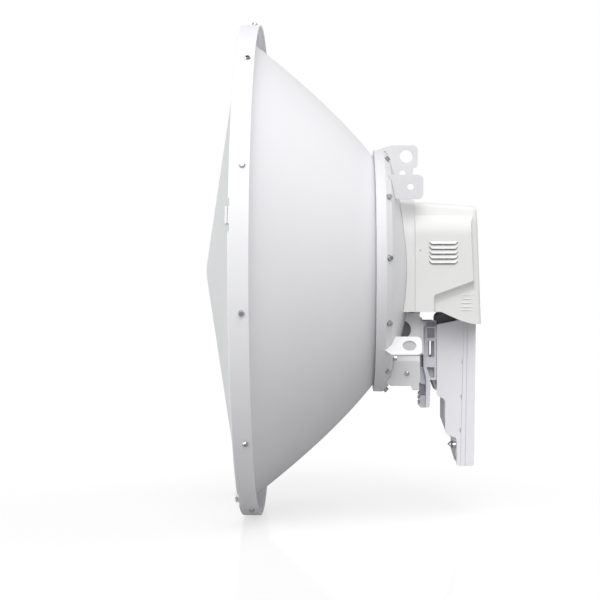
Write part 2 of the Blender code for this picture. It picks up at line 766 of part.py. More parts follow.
def cover_form(name, wall, material):
    """The cover's rear part as a block, less a wall, run on past its front and its lower edge."""
    reach = COVER_REACH + wall
    front = COVER_FRONT - reach
    bottom = COVER_LOW_POINT - reach
    fall = (COVER_TOP_FRONT - COVER_TOP_BACK) / (COVER_BACK_HIGH - COVER_FRONT)
    top_front = COVER_TOP_FRONT + fall * reach - wall
    top_back = COVER_TOP_BACK - wall
    narrow = hood_mesh(name, front, COVER_BACK_LOW - wall, COVER_BACK_HIGH - wall, COVER_HALF_WIDTH - wall,
                       top_front - BULGE_TOP_PROUD, top_back, bottom, COVER_ROUND - wall,
                       COVER_BACK_ROUND - wall)
    form = place(name, narrow, material)
    wide = hood_mesh(name + "_bulge", front, COVER_BACK_LOW, COVER_BACK_LOW, BULGE_HALF_WIDTH - wall,
                     top_front, top_back + BULGE_TOP_PROUD, bottom, COVER_ROUND - wall, 0.0)
    bulge = place(name + "_bulge", wide, None)
    keep = upright_plate(name + "_bulge_side", [bulge_outline(wall)], 4.0 * BULGE_HALF_WIDTH, None, 0.0)
    cut(bulge, hide_as_cutter(keep), "INTERSECT")
    edge = bulge.modifiers.new("edge", "BEVEL")
    edge.width = BULGE_EDGE
    edge.segments = 3
    edge.limit_method = "ANGLE"
    edge.angle_limit = math.radians(40.0)
    cut(form, hide_as_cutter(bulge), "UNION")
    return form


def build_cover_shell():
    """The rear part of the cover: a raised middle, a lower rear edge and louvres on both sides."""
    shell = cover_form("cover_shell", 0.0, COVER_PLASTIC)
    cut(shell, hide_as_cutter(cover_form("cover_inside", COVER_WALL, None)))
    ahead = COVER_FRONT - 3.0 * COVER_REACH
    low = COVER_LOW_POINT - 3.0 * COVER_REACH
    back = COVER_BACK_LOW + COVER_REACH
    top = COVER_TOP_FRONT + COVER_REACH
    trim = rounded([
        (ahead, low, 0.0),
        (back, low, 0.0),
        (back, COVER_LOW_POINT, 0.0),
        (SKIRT_REAR[0], COVER_LOW_POINT, SKIRT_REAR[1]),
        (SKIRT_MIDDLE[0], SKIRT_MIDDLE[1], 0.0),
        (SKIRT_FRONT[0], COVER_BOTTOM, SKIRT_FRONT[1]),
        (COVER_FRONT, COVER_BOTTOM, 0.0),
        (COVER_FRONT, top, 0.0),
        (ahead, top, 0.0),
    ])
    cut(shell, hide_as_cutter(upright_plate("cover_trim", [trim], 4.0 * BULGE_HALF_WIDTH, None, 0.0)))
    joined = bmesh.new()
    for index in range(LOUVRE_COUNT):
        top = LOUVRE_TOP - index * LOUVRE_PITCH
        mesh = block_mesh("louvre", (LOUVRE_FRONT, -0.1, top - LOUVRE_SLOT), (LOUVRE_BACK, 0.1, top))
        joined.from_mesh(mesh)
        bpy.data.meshes.remove(mesh)
    slots = bpy.data.meshes.new("louvre_slots")
    joined.to_mesh(slots)
    joined.free()
    cut(shell, hide_as_cutter(place("louvre_slots", slots, None)))
    apply_modifiers(shell)
    shade_round(shell)
    return shell


# Radio mount


def window(corners):
    """Outline of a window between two corners, given as (low x, low z, high x, high z)."""
    left, low, right, high = corners
    return rounded([
        (left, low, WINDOW_CORNER),
        (right, low, WINDOW_CORNER),
        (right, high, WINDOW_CORNER),
        (left, high, WINDOW_CORNER),
    ], 2)


def build_radio_mount():
    """The ribbed carrier of the radio: a cross plate on the bracket, a spine and two side cheeks."""
    inner = CHEEK_Y - CHEEK_JOG - SHEET - GAP
    block("mount_cross_plate", (CROSS_FRONT, -inner, CROSS_BOTTOM), (CROSS_BACK, inner, MOUNT_TOP),
          BRACKET_PAINT)
    block("radio_mount_spine", (CROSS_BACK + GAP, -MOUNT_CHEEK_INNER + GAP, SPINE_BOTTOM),
          (SPINE_BACK, MOUNT_CHEEK_INNER - GAP, MOUNT_TOP), MOUNT_PLASTIC)
    outline = rounded([
        (MOUNT_FRONT, MOUNT_TOP, MOUNT_CORNER),
        (MOUNT_FRONT, MOUNT_SLOPE_TOP, 0.0),
        (MOUNT_KNEE[0], MOUNT_KNEE[1], 0.0),
        (MOUNT_BACK, MOUNT_FOOT, 0.0),
        (MOUNT_BACK, MOUNT_TOP, MOUNT_CORNER),
    ])
    left, low, right, high = WINDOW_LOWER
    triangle = [(right, low), (right, high), (left, high)]
    thickness = MOUNT_CHEEK_OUTER - MOUNT_CHEEK_INNER
    for side, label in ((-1.0, "near"), (1.0, "far")):
        upright_plate("radio_mount_cheek_" + label,
                      [outline, window(WINDOW_UPPER), window(WINDOW_MIDDLE), triangle],
                      thickness, MOUNT_PLASTIC, side * (MOUNT_CHEEK_OUTER + MOUNT_CHEEK_INNER) / 2.0)


def build_latch():
    """The release lever below the mount, a bent arm with a ribbed grip on its leg."""
    knee_x, knee_z = LATCH_KNEE
    grip = []
    for index in range(GRIP_RIBS):
        top = GRIP_TOP - GRIP_GROOVE_DEPTH - index * GRIP_PITCH
        grip += [
            (GRIP_FRONT, top),
            (GRIP_FRONT, top - GRIP_RIDGE),
            (GRIP_FRONT + GRIP_GROOVE_DEPTH, top - GRIP_GROOVE),
        ]
    outline = rounded([
        (LATCH_FRONT, LATCH_TOP, 0.0),
        (LATCH_FRONT + LATCH_ARM, LATCH_TOP, 0.0),
        (LATCH_FRONT + LATCH_ARM, LATCH_ELBOW, 0.0),
        (knee_x + LATCH_LEG, knee_z, 0.0),
        (knee_x + LATCH_LEG, LATCH_FOOT, LATCH_FOOT_ROUND),
        (GRIP_FRONT + GRIP_GROOVE_DEPTH, LATCH_FOOT, LATCH_FOOT_ROUND / 2.0),
    ])
    outline += list(reversed(grip))
    outline += [(knee_x, GRIP_TOP), (knee_x, knee_z), (LATCH_FRONT, LATCH_ELBOW)]
    upright_plate("radio_latch", [outline], 2.0 * LATCH_HALF_WIDTH, MOUNT_PLASTIC, 0.0)


# Radio


def near_profile():
    """Side view of the radio's near side housing, with its two rounded steps, as (x, z)."""
    return rounded([
        (RADIO_SEAM, RADIO_BOTTOM, 0.0),
        (RADIO_FOOT_FRONT, RADIO_BOTTOM, RADIO_FOOT_ROUND),
        (RADIO_FOOT_FRONT, RADIO_STEP_LOW - RADIO_STEP_FALL, RADIO_STEP_HOLLOW),
        (RADIO_MIDDLE_FRONT, RADIO_STEP_LOW, RADIO_STEP_ROUND),
        (RADIO_MIDDLE_FRONT, RADIO_STEP_HIGH - RADIO_STEP_FALL, RADIO_STEP_HOLLOW),
        (RADIO_FRONT, RADIO_STEP_HIGH, RADIO_STEP_ROUND),
        (RADIO_FRONT, RADIO_SHOULDER[0], RADIO_SHOULDER[1]),
        (RADIO_CROWN[0], RADIO_CROWN[1], 0.0),
        (RADIO_SEAM, RADIO_TOP, 0.0),
    ])


def core_front():
    """The front of the radio's core and far side, foot to shoulder, as (x, z)."""
    return [
        (CORE_TOE_FRONT, RADIO_BOTTOM),
        (CORE_FOOT_FRONT, CORE_FOOT_SLOPE),
        (CORE_FOOT_FRONT, CORE_FOOT_TOP),
        (CORE_LEDGE_BACK, CORE_LOW_SLOPE[1]),
        (CORE_MIDDLE_FRONT, CORE_LOW_SLOPE[0]),
        (CORE_MIDDLE_FRONT, CORE_HIGH_SLOPE[1]),
        (RADIO_FRONT, CORE_HIGH_SLOPE[0]),
    ]


def build_feed_adapter():
    """The black block that joins the radio to the feed, seated on the sloping top of the core."""
    outline = rounded([
        (ADAPTER_FRONT, CORE_SHOULDER + GAP, ADAPTER_FRONT_ROUND),
        (RADIO_FRONT, CORE_SHOULDER + GAP, 0.0),
        (CORE_CROWN[0], CORE_CROWN[1] + GAP, 0.0),
        (CORE_CROWN[0], ADAPTER_TOP, ADAPTER_BACK_ROUND),
        (ADAPTER_FRONT, ADAPTER_TOP, ADAPTER_FRONT_ROUND),
    ])
    upright_plate("feed_adapter", [outline], 2.0 * ADAPTER_HALF_WIDTH, BLACK_PLASTIC, 0.0)


def build_ground_screw():
    """The earthing screw low on the core's front, a nut on a pointed stud along the dish axis."""
    seat = CORE_FOOT_FRONT - GAP
    profile = [
        (0.0, seat),
        (GROUND_NUT_RADIUS, seat),
        (GROUND_NUT_RADIUS, seat - GROUND_NUT_HEIGHT),
        (GROUND_STUD_RADIUS, seat - GROUND_NUT_HEIGHT),
        (GROUND_STUD_RADIUS, GROUND_STUD_END),
        (0.0, GROUND_STUD_TIP),
    ]
    screw = turned("ground_screw", profile, PLATED_STEEL, closed=False, steps=16)
    screw.location = (0.0, GROUND_SCREW_Y, GROUND_SCREW_Z)


def build_radio():
    """The slab radio: a metal core between two side housings, a middle band and a rear shell."""
    inner = RADIO_CORE_HALF_WIDTH + GAP
    skin = RADIO_HALF_WIDTH - inner
    skin_y = (RADIO_HALF_WIDTH + inner) / 2.0
    core = [(RADIO_SEAM, RADIO_BOTTOM)] + core_front() + [
        (RADIO_FRONT, CORE_SHOULDER),
        CORE_CROWN,
        (RADIO_SEAM, CORE_TOP),
    ]
    far = [(RADIO_SEAM, RADIO_BOTTOM)] + core_front() + [
        (RADIO_FRONT, RADIO_SHOULDER[0]),
        RADIO_CROWN,
        (RADIO_SEAM, RADIO_TOP),
    ]
    upright_plate("radio_core", [core], 2.0 * RADIO_CORE_HALF_WIDTH, CORE_METAL, 0.0)
    upright_plate("radio_side_near", [near_profile()], skin, RADIO_PLASTIC, -skin_y)
    upright_plate("radio_side_far", [far], skin, RADIO_PLASTIC, skin_y)
    block("radio_band", (RADIO_SEAM + GAP, -RADIO_HALF_WIDTH, RADIO_BOTTOM),
          (RADIO_BAND_BACK, RADIO_HALF_WIDTH, RADIO_TOP), RADIO_PLASTIC)
    rear_bottom = RADIO_BOTTOM - RADIO_BACK_PROUD
    rear = rounded([
        (RADIO_BAND_BACK + GAP, rear_bottom, 0.0),
        (RADIO_BACK_LOW, rear_bottom, RADIO_BACK_ROUND[0]),
        (RADIO_BACK_HIGH, RADIO_TOP, RADIO_BACK_ROUND[1]),
        (RADIO_BAND_BACK + GAP, RADIO_TOP, 0.0),
    ])
    upright_plate("radio_rear_shell", [rear], 2.0 * (RADIO_HALF_WIDTH + RADIO_BACK_PROUD), RADIO_PLASTIC,
                  0.0)
    build_feed_adapter()
    build_ground_screw()


build_radome()
build_rim_hoop()
build_rim_clips()
build_reflector()
build_hub_ring()
build_hub_plate()
HUB = build_hub_clearance()
build_bracket_cheeks(HUB)
build_side_ears(HUB)
build_top_ear(HUB)
build_slant_ears(HUB)
build_cover_collar(HUB)
build_cover_shell()
build_radio_mount()
build_latch()
build_radio()
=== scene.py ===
"""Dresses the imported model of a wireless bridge's dish antenna and sets it in a plain studio.

Every piece is drawn in the dish frame, in metres: X is the dish's own axis, its origin is the middle of
the rim's back plane, -Y is the near side and +Z is up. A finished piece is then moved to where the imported
model's rim hoop stands.
"""

import logging
import math
from dataclasses import dataclass
from enum import Enum
from functools import cache
from typing import Callable, Iterable, Sequence

import bmesh
import bpy
from mathutils import Matrix, Vector


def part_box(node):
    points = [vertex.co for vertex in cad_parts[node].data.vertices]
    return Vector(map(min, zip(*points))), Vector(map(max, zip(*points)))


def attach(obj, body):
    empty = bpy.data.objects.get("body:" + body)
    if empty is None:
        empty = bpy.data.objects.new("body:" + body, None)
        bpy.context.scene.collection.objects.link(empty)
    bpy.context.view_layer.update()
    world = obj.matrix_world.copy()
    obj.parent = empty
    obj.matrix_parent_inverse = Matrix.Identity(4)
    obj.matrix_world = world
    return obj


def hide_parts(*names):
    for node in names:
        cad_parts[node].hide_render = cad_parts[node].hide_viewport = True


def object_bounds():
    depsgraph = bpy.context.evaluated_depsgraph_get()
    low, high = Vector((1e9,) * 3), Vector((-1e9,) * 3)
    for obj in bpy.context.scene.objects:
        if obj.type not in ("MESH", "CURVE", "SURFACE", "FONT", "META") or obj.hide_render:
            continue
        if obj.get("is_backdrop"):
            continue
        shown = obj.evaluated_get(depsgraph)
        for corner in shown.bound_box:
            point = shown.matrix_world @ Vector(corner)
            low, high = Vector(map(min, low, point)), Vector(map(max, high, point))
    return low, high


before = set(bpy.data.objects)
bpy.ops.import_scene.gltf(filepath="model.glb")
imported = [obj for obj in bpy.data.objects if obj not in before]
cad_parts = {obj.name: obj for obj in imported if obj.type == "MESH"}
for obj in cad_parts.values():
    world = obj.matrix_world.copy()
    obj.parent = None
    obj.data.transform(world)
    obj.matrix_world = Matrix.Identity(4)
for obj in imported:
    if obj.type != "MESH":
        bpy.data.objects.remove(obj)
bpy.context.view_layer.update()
HOOP_LOW, HOOP_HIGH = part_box("rim_hoop")
ORIGIN = Vector((HOOP_HIGH.x, (HOOP_LOW.y + HOOP_HIGH.y) / 2.0, (HOOP_LOW.z + HOOP_HIGH.z) / 2.0))

LOG = logging.getLogger("dish_antenna")
BODY = "root"
WHITE = (1.0, 1.0, 1.0, 1.0)

Point = tuple[float, float]
Numbers = tuple[float, ...]
Corner = tuple[float, ...]
Outline = tuple[Corner, ...]
Box = tuple[Corner, Corner]
Solid = bmesh.types.BMesh

GAP = 0.0003  # between two pieces
MERGE = 0.000002  # points nearer than this are one
TURN_STEPS = 192  # of a full turn
HOLE_STEPS = 48  # of a round hole
SHEET = 0.0030  # the bracket's sheet metal
SPARE = 0.0040  # how far a cutter reaches past what it cuts
SINK = 0.0003  # how deep a screw's head sits in its seat


class Slot(Enum):
    """The record's material slots."""

    WHITE_PAINT = "white_paint"
    BRACKET_PAINT = "bracket_paint"
    RADOME = "radome_plastic"
    COVER = "cover_plastic"
    MOUNT = "mount_plastic"
    RADIO = "radio_plastic"
    CORE = "core_metal"
    BLACK = "black_plastic"
    STEEL = "plated_steel"


class Cut(Enum):
    """How one solid changes another."""

    AWAY = "DIFFERENCE"
    COMMON = "INTERSECT"
    TOGETHER = "UNION"


class Side(float, Enum):
    """The two sides of the dish axis, by the sign of Y."""

    NEAR = -1.0
    FAR = 1.0

    @property
    def half_turn(self) -> Matrix:
        """The turn about the dish axis that brings a piece drawn on the near side to this one."""
        return Matrix.Rotation(math.pi if self is Side.FAR else 0.0, 4, "X")


# Shader expressions


class Value:
    """A number socket of a node tree that takes part in Python arithmetic."""

    def __init__(self, graph: "Graph", socket: bpy.types.NodeSocket) -> None:
        """Wraps an output socket of a graph."""
        self.graph = graph
        self.socket = socket

    def _math(self, operation: str, first: object, second: object) -> "Value":
        """Adds a Math node and gives its result."""
        made = self.graph.node("ShaderNodeMath", {"operation": operation}, {0: first, 1: second})
        return Value(self.graph, made.outputs[0])

    def __add__(self, other: object) -> "Value":
        """This value plus another."""
        return self._math("ADD", self, other)

    def __sub__(self, other: object) -> "Value":
        """This value less another."""
        return self._math("SUBTRACT", self, other)

    def __rsub__(self, other: object) -> "Value":
        """Another value less this one."""
        return self._math("SUBTRACT", other, self)

    def __mul__(self, other: object) -> "Value":
        """This value times another."""
        return self._math("MULTIPLY", self, other)

    __radd__ = __add__
    __rmul__ = __mul__

    def at_least(self, other: object) -> "Value":
        """The larger of this value and another."""
        return self._math("MAXIMUM", self, other)

    def power(self, other: object) -> "Value":
        """This value to the power of another."""
        return self._math("POWER", self, other)


class Graph:
    """A node tree that is filled from Python expressions."""

    def __init__(self, owner: bpy.types.Material | bpy.types.World) -> None:
        """Starts from the emptied tree of a material or world."""
        owner.use_nodes = True
        self.tree = owner.node_tree
        self.tree.nodes.clear()

    def node(self, kind: str, settings: dict[str, object] | None = None,
             inputs: dict[str | int, object] | None = None) -> bpy.types.Node:
        """Adds a node.

        Args:
            kind: The node's type, such as ShaderNodeTexNoise.
            settings: Its properties, set before its sockets.
            inputs: Numbers, colours, sockets or values for its inputs, by name or number.

        Returns:
            The new node.
        """
        made = self.tree.nodes.new(kind)
        for key, value in (settings or {}).items():
            setattr(made, key, value)
        for key, value in (inputs or {}).items():
            source = value.socket if isinstance(value, Value) else value
            if isinstance(source, bpy.types.NodeSocket):
                self.tree.links.new(source, made.inputs[key])
            else:
                made.inputs[key].default_value = source
        return made

    def noise(self, scale: float, detail: float = 2.0, stretch: Numbers = (1.0, 1.0, 1.0)) -> Value:
        """Noise from 0 to 1 on the piece's own coordinates.

        Args:
            scale: How many features there are in a metre.
            detail: How many octaves are added.
            stretch: How much denser it is along each axis.

        Returns:
            The noise's value.
        """
        here = self.node("ShaderNodeTexCoord").outputs["Object"]
        place = self.node("ShaderNodeMapping", None, {"Vector": here, "Scale": stretch}).outputs[0]
        made = self.node("ShaderNodeTexNoise", None, {"Vector": place, "Scale": scale, "Detail": detail})
        return Value(self, made.outputs[0])

    def blend(self, amount: Value, first: Sequence[float], second: Sequence[float]) -> bpy.types.NodeSocket:
        """Mixes two colours by an amount."""
        made = self.node("ShaderNodeMix", {"data_type": "RGBA"},
                         {0: amount, 6: (*first, 1.0), 7: (*second, 1.0)})
        return made.outputs[2]

    def bump(self, height: Value, relief: float) -> bpy.types.NodeSocket:
        """A normal from a height of 0 to 1 and the relief in metres that it stands for."""
        made = self.node("ShaderNodeBump", None, {"Strength": 1.0, "Distance": relief, "Height": height})
        return made.outputs[0]

    def mixed(self, amount: object, first: bpy.types.Node, second: bpy.types.Node) -> bpy.types.Node:
        """Mixes two shaders by an amount."""
        return self.node("ShaderNodeMixShader", None, {0: amount, 1: first.outputs[0], 2: second.outputs[0]})

    def split(self, kind: str, light: bpy.types.Node, seen: bpy.types.Node) -> None:
        """Ends the tree with a shader that lights the scene and another that the camera sees."""
        ray = self.node("ShaderNodeLightPath").outputs["Is Camera Ray"]
        self.node(kind, None, {"Surface": self.mixed(ray, light, seen).outputs[0]})


# Finishes


@dataclass(frozen=True)
class Finish:
    """A surface with a slight mottle in its colour, an uneven gloss and a fine grain.

    The grain and mottle are given in features for each metre, the relief in metres.
    """

    name: str
    slot: Slot
    colour: Numbers
    roughness: float
    mottle: float = 0.015
    mottle_scale: float = 24.0
    gloss_play: float = 0.06
    gloss_scale: float = 168.0
    grain_scale: float = 1100.0
    relief: float = 0.00003
    metallic: float = 0.0

    def height(self, graph: Graph) -> Value:
        """The grain's height, from 0 to 1."""
        return graph.noise(self.grain_scale)

    @cache
    def material(self) -> bpy.types.Material:
        """The finish's material, made when it is first asked for."""
        made = bpy.data.materials.new(self.name)
        graph = Graph(made)
        low, high = ([part * (1.0 + play) for part in self.colour] for play in (-self.mottle, self.mottle))
        gloss = graph.noise(self.gloss_scale, 3.0)
        shader = graph.node("ShaderNodeBsdfPrincipled", None, {
            "Base Color": graph.blend(graph.noise(self.mottle_scale, 3.0), low, high),
            "Roughness": gloss * self.gloss_play + (self.roughness - self.gloss_play / 2.0),
            "Metallic": self.metallic,
            "Normal": graph.bump(self.height(graph), self.relief),
        })
        graph.node("ShaderNodeOutputMaterial", None, {"Surface": shader.outputs[0]})
        return made


@dataclass(frozen=True)
class PowderCoat(Finish):
    """Baked powder on sheet metal, with the faint orange peel of the cured film."""

    peel_scale: float = 260.0
    peel_share: float = 0.7

    def height(self, graph: Graph) -> Value:
        """Soft peel with a little fine grain on it."""
        peel = graph.noise(self.peel_scale, 1.0)
        return peel * self.peel_share + graph.noise(self.grain_scale) * (1.0 - self.peel_share)


@dataclass(frozen=True)
class MouldedPlastic(Finish):
    """Injection moulded plastic with the fine spark-eroded grain of its tool."""

    grain_scale: float = 1900.0
    relief: float = 0.00002


@dataclass(frozen=True)
class CastMetal(Finish):
    """Die-cast metal with a coarse, pitted skin."""

    grain_scale: float = 700.0
    relief: float = 0.00008
    wave_scale: float = 700.0 / 6.0
    wave_share: float = 0.4

    def height(self, graph: Graph) -> Value:
        """Coarse grain with shallow waves under it."""
        waves = graph.noise(self.wave_scale, 1.0) * self.wave_share
        return graph.noise(self.grain_scale, 4.0) * (1.0 - self.wave_share) + waves


@dataclass(frozen=True)
class PlatedSteel(Finish):
    """Bright plated steel with drawn streaks."""

    streak: Numbers = (1.0, 6.0, 6.0)

    def height(self, graph: Graph) -> Value:
        """Fine streaks along the dish axis."""
        return graph.noise(self.grain_scale, 2.0, self.streak)


class Palette:
    """The finishes of this dish."""

    BAND = PowderCoat("hoop_paint", Slot.WHITE_PAINT, (0.86, 0.86, 0.885), 0.42)
    BOWL = PowderCoat("reflector_paint", Slot.WHITE_PAINT, (0.86, 0.86, 0.885), 0.50)
    BRACKET = PowderCoat("bracket_paint", Slot.BRACKET_PAINT, (0.785, 0.785, 0.80), 0.48)
    RADOME = MouldedPlastic("radome_plastic", Slot.RADOME, (0.75, 0.765, 0.77), 0.55, grain_scale=900.0)
    COVER = MouldedPlastic("cover_plastic", Slot.COVER, (0.83, 0.83, 0.822), 0.50)
    MOUNT = MouldedPlastic("mount_plastic", Slot.MOUNT, (0.76, 0.76, 0.82), 0.55)
    # A darker copy of the mount plastic in the same slot: painted shade for mount parts that sit in shadow.
    MOUNT_PAINTED_SHADE = MouldedPlastic("mount_plastic_painted_shade", Slot.MOUNT, (0.62, 0.62, 0.65), 0.60)
    RADIO = MouldedPlastic("radio_plastic", Slot.RADIO, (0.87, 0.87, 0.905), 0.45)
    CORE = CastMetal("core_metal", Slot.CORE, (0.74, 0.75, 0.77), 0.45, metallic=0.1)
    BLACK = MouldedPlastic("black_plastic", Slot.BLACK, (0.18, 0.18, 0.195), 0.55)
    STEEL = PlatedSteel("plated_steel", Slot.STEEL, (0.62, 0.62, 0.62), 0.24, metallic=1.0)
    LUG = PlatedSteel("lug_metal", Slot.STEEL, (0.16, 0.16, 0.17), 0.45, metallic=1.0)
    SCREW = PlatedSteel("screw_steel", Slot.STEEL, (0.50, 0.50, 0.52), 0.26, metallic=1.0)


# Shapes


class Form:
    """Solids made with bmesh operators, in the dish frame."""

    @staticmethod
    def mesh(work: Solid, name: str) -> bpy.types.Mesh:
        """Turns a solid into a mesh; the solid is used up."""
        made = bpy.data.meshes.new(name)
        work.to_mesh(made)
        work.free()
        return made

    @staticmethod
    def joined(parts: Iterable[Solid]) -> Solid:
        """Puts several solids in one mesh, as separate bodies."""
        work = bmesh.new()
        for part in parts:
            mesh = Form.mesh(part, "part")
            work.from_mesh(mesh)
            bpy.data.meshes.remove(mesh)
        return work

    @staticmethod
    def mended(work: Solid) -> Solid:
        """Merges doubled points and turns all faces outwards."""
        bmesh.ops.remove_doubles(work, verts=work.verts, dist=MERGE)
        bmesh.ops.recalc_face_normals(work, faces=work.faces)
        return work

    @staticmethod
    def flattened(work: Solid, degrees: float) -> Solid:
        """Makes faces whole that meet at less than an angle."""
        limit = math.radians(degrees)
        bmesh.ops.dissolve_limit(work, angle_limit=limit, verts=work.verts, edges=work.edges)
        return work

    @staticmethod
    def moved(work: Solid, matrix: Matrix) -> Solid:
        """Turns and moves a solid by a 4x4 matrix."""
        bmesh.ops.transform(work, matrix=matrix, verts=work.verts)
        return work

    @staticmethod
    def lines(work: Solid, test: Callable[[Vector], bool]) -> list[bmesh.types.BMEdge]:
        """The edges of a solid with both ends at places that pass a test."""
        return [line for line in work.edges if all(test(point.co) for point in line.verts)]

    @staticmethod
    def rounded(work: Solid, edges: list[bmesh.types.BMEdge], offset: float, segments: int = 2,
                clamp: bool = False) -> Solid:
        """Rounds some of a solid's edges.

        Args:
            work: The solid.
            edges: The edges.
            offset: How far the rounding reaches to each side of an edge.
            segments: How many segments it has.
            clamp: Whether it stops where two roundings would meet.

        Returns:
            The same solid.
        """
        bmesh.ops.bevel(work, geom=edges, offset=offset, segments=segments, profile=0.5, affect="EDGES",
                        clamp_overlap=clamp, material=-1)
        return work

    @staticmethod
    def eased(work: Solid, edge: float, angle: float = 40.0, segments: int = 2,
              before: float = math.inf) -> Solid:
        """Rounds a solid's sharp edges.

        Args:
            work: The solid.
            edge: How far the rounding reaches to each side of an edge.
            angle: The angle in degrees from which an edge is sharp.
            segments: How many segments the rounding has.
            before: The distance along X from which the edges stay as they are.

        Returns:
            The same solid.
        """
        sharp = [line for line in Form.lines(work, lambda at: at.x < before)
                 if len(line.link_faces) == 2 and line.calc_face_angle() > math.radians(angle)]
        return Form.rounded(work, sharp, edge, segments, True)

    @staticmethod
    def wire(work: Solid, corners: Sequence[Corner], closed: bool = True, steps: int = 8) -> None:
        """Draws a line in the XY plane and rounds its corners.

        Args:
            work: The bmesh that takes the line.
            corners: Its corners, as (x, y) or (x, y, rounding radius).
            closed: Whether the last corner is joined to the first.
            steps: How many segments round a corner.
        """
        points = [work.verts.new((*corner[:2], 0.0)) for corner in corners]
        for first, second in zip(points, points[1:]):
            work.edges.new((first, second))
        if closed:
            work.edges.new((points[-1], points[0]))
        for index, (x, y, *rounding) in enumerate(corners):
            if rounding:
                before = Vector(corners[index - 1][:2]) - Vector((x, y))
                after = Vector(corners[(index + 1) % len(corners)][:2]) - Vector((x, y))
                reach = rounding[0] / math.tan(before.angle(after) / 2.0)
                bmesh.ops.bevel(work, geom=[points[index]], offset=reach, segments=steps, profile=0.5,
                                affect="VERTICES", material=-1)

    @staticmethod
    def turned(corners: Sequence[Corner], closed: bool = True, steps: int = TURN_STEPS,
               rounding: int = 4) -> Solid:
        """A solid of revolution about the dish axis.

        Args:
            corners: The profile, as (distance along the axis, radius) and a rounding radius.
            closed: Whether the profile is closed; an open one starts and ends on the axis.
            steps: How many steps the full turn has.
            rounding: How many segments round a corner.

        Returns:
            The turned solid.
        """
        work = bmesh.new()
        Form.wire(work, corners, closed, rounding)
        bmesh.ops.spin(work, geom=work.verts[:] + work.edges[:], cent=(0.0, 0.0, 0.0), axis=(1.0, 0.0, 0.0),
                       dvec=(0.0, 0.0, 0.0), angle=2.0 * math.pi, steps=steps, use_merge=True)
        return Form.mended(work)

    @staticmethod
    def plate(corners: Sequence[Corner], thickness: float, windows: Iterable[Outline] = (),
              holes: Iterable[Corner] = (), steps: int = 8) -> Solid:
        """A flat plate with its middle on the XY plane.

        Args:
            corners: The outline, as (x, y) or (x, y, rounding radius).
            thickness: How thick the plate is.
            windows: Outlines of the openings.
            holes: Round holes, as (x, y, radius).
            steps: How many segments round a corner.

        Returns:
            The plate.
        """
        work = bmesh.new()
        Form.wire(work, corners, True, steps)
        for window in windows:
            Form.wire(work, window, True, 4)
        for x, y, radius in holes:
            ring = bmesh.ops.create_circle(work, segments=HOLE_STEPS, radius=radius)
            bmesh.ops.translate(work, verts=ring["verts"], vec=(x, y, 0.0))
        bmesh.ops.triangle_fill(work, use_beauty=True, edges=work.edges[:])
        raised = bmesh.ops.extrude_face_region(work, geom=work.faces[:])["geom"]
        top = [item for item in raised if isinstance(item, bmesh.types.BMVert)]
        bmesh.ops.translate(work, verts=top, vec=(0.0, 0.0, thickness))
        bmesh.ops.translate(work, verts=work.verts, vec=(0.0, 0.0, -thickness / 2.0))
        return Form.mended(work)

    @staticmethod
    def lofted(sections: Sequence[tuple[float, Sequence[Corner]]]) -> Solid:
        """A solid through outlines that lie one above the other.

        Args:
            sections: The height of each outline over the XY plane and its corners, from the lowest up; all
                outlines have the same number of corners.

        Returns:
            The solid.
        """
        loops = []
        for height, corners in sections:
            loop = bmesh.new()
            Form.wire(loop, corners)
            loops.append(Form.moved(loop, Matrix.Translation((0.0, 0.0, height))))
        count = len(loops[0].edges)
        work = Form.joined(loops)
        rings = [work.edges[start:start + count] for start in range(0, len(work.edges), count)]
        for lower, upper in zip(rings, rings[1:]):
            bmesh.ops.bridge_loops(work, edges=lower + upper)
        for ring in (rings[0], rings[-1]):
            bmesh.ops.triangle_fill(work, use_beauty=True, edges=ring)
        return Form.mended(work)

    @staticmethod
    def upright(work: Solid, y: float = 0.0) -> Solid:
        """Stands a plate drawn as (x, z) up along the dish, with its middle at y."""
        return Form.moved(work, Matrix.Translation((0.0, y, 0.0)) @ Matrix.Rotation(math.pi / 2.0, 4, "X"))

    @staticmethod
    def slab(corners: Sequence[Corner], width: float, edge: float, y: float = 0.0, angle: float = 60.0,
             segments: int = 2, steps: int = 8) -> Solid:
        """An upright plate with rounded edges.

        Args:
            corners: The outline, as (x, z) or (x, z, rounding radius).
            width: How thick the plate is.
            edge: The rounding of its sharp edges.
            y: Where its middle lies.
            angle: The angle in degrees from which an edge is sharp.
            segments: How many segments round an edge.
            steps: How many segments round a corner.

        Returns:
            The plate.
        """
        return Form.eased(Form.upright(Form.plate(corners, width, steps=steps), y), edge, angle, segments)

    @staticmethod
    def bar(section: Sequence[Corner], front: float, back: float) -> Solid:
        """A bar along the dish axis whose cross-section is drawn as (y, z)."""
        across = Matrix(((0.0, 0.0, 1.0, (front + back) / 2.0), (1.0, 0.0, 0.0, 0.0), (0.0, 1.0, 0.0, 0.0),
                         (0.0, 0.0, 0.0, 1.0)))
        return Form.moved(Form.plate(section, back - front), across)

    @staticmethod
    def block(box: Box, edge: float = 0.0, segments: int = 3) -> Solid:
        """A box with rounded edges.

        Args:
            box: Two opposite corners of the box.
            edge: The rounding of its edges.
            segments: How many segments round an edge.

        Returns:
            The box.
        """
        first, second = map(Vector, box)
        size = Matrix.Diagonal([abs(length) for length in second - first]).to_4x4()
        work = bmesh.new()
        bmesh.ops.create_cube(work, size=1.0, matrix=Matrix.Translation((first + second) / 2.0) @ size)
        return Form.rounded(work, work.edges[:], edge, segments) if edge > 0.0 else work

    @staticmethod
    def beside(side: Side, box: Box, edge: float = 0.0, segments: int = 3) -> Solid:
        """A box on one side of the dish axis, from the corners of its far twin."""
        return Form.block(tuple((x, side * y, z) for x, y, z in box), edge, segments)

    @staticmethod
    def twins(box: Box, edge: float, segments: int = 3) -> Solid:
        """A box and its mirror image across the dish axis."""
        return Form.joined(Form.beside(side, box, edge, segments) for side in Side)

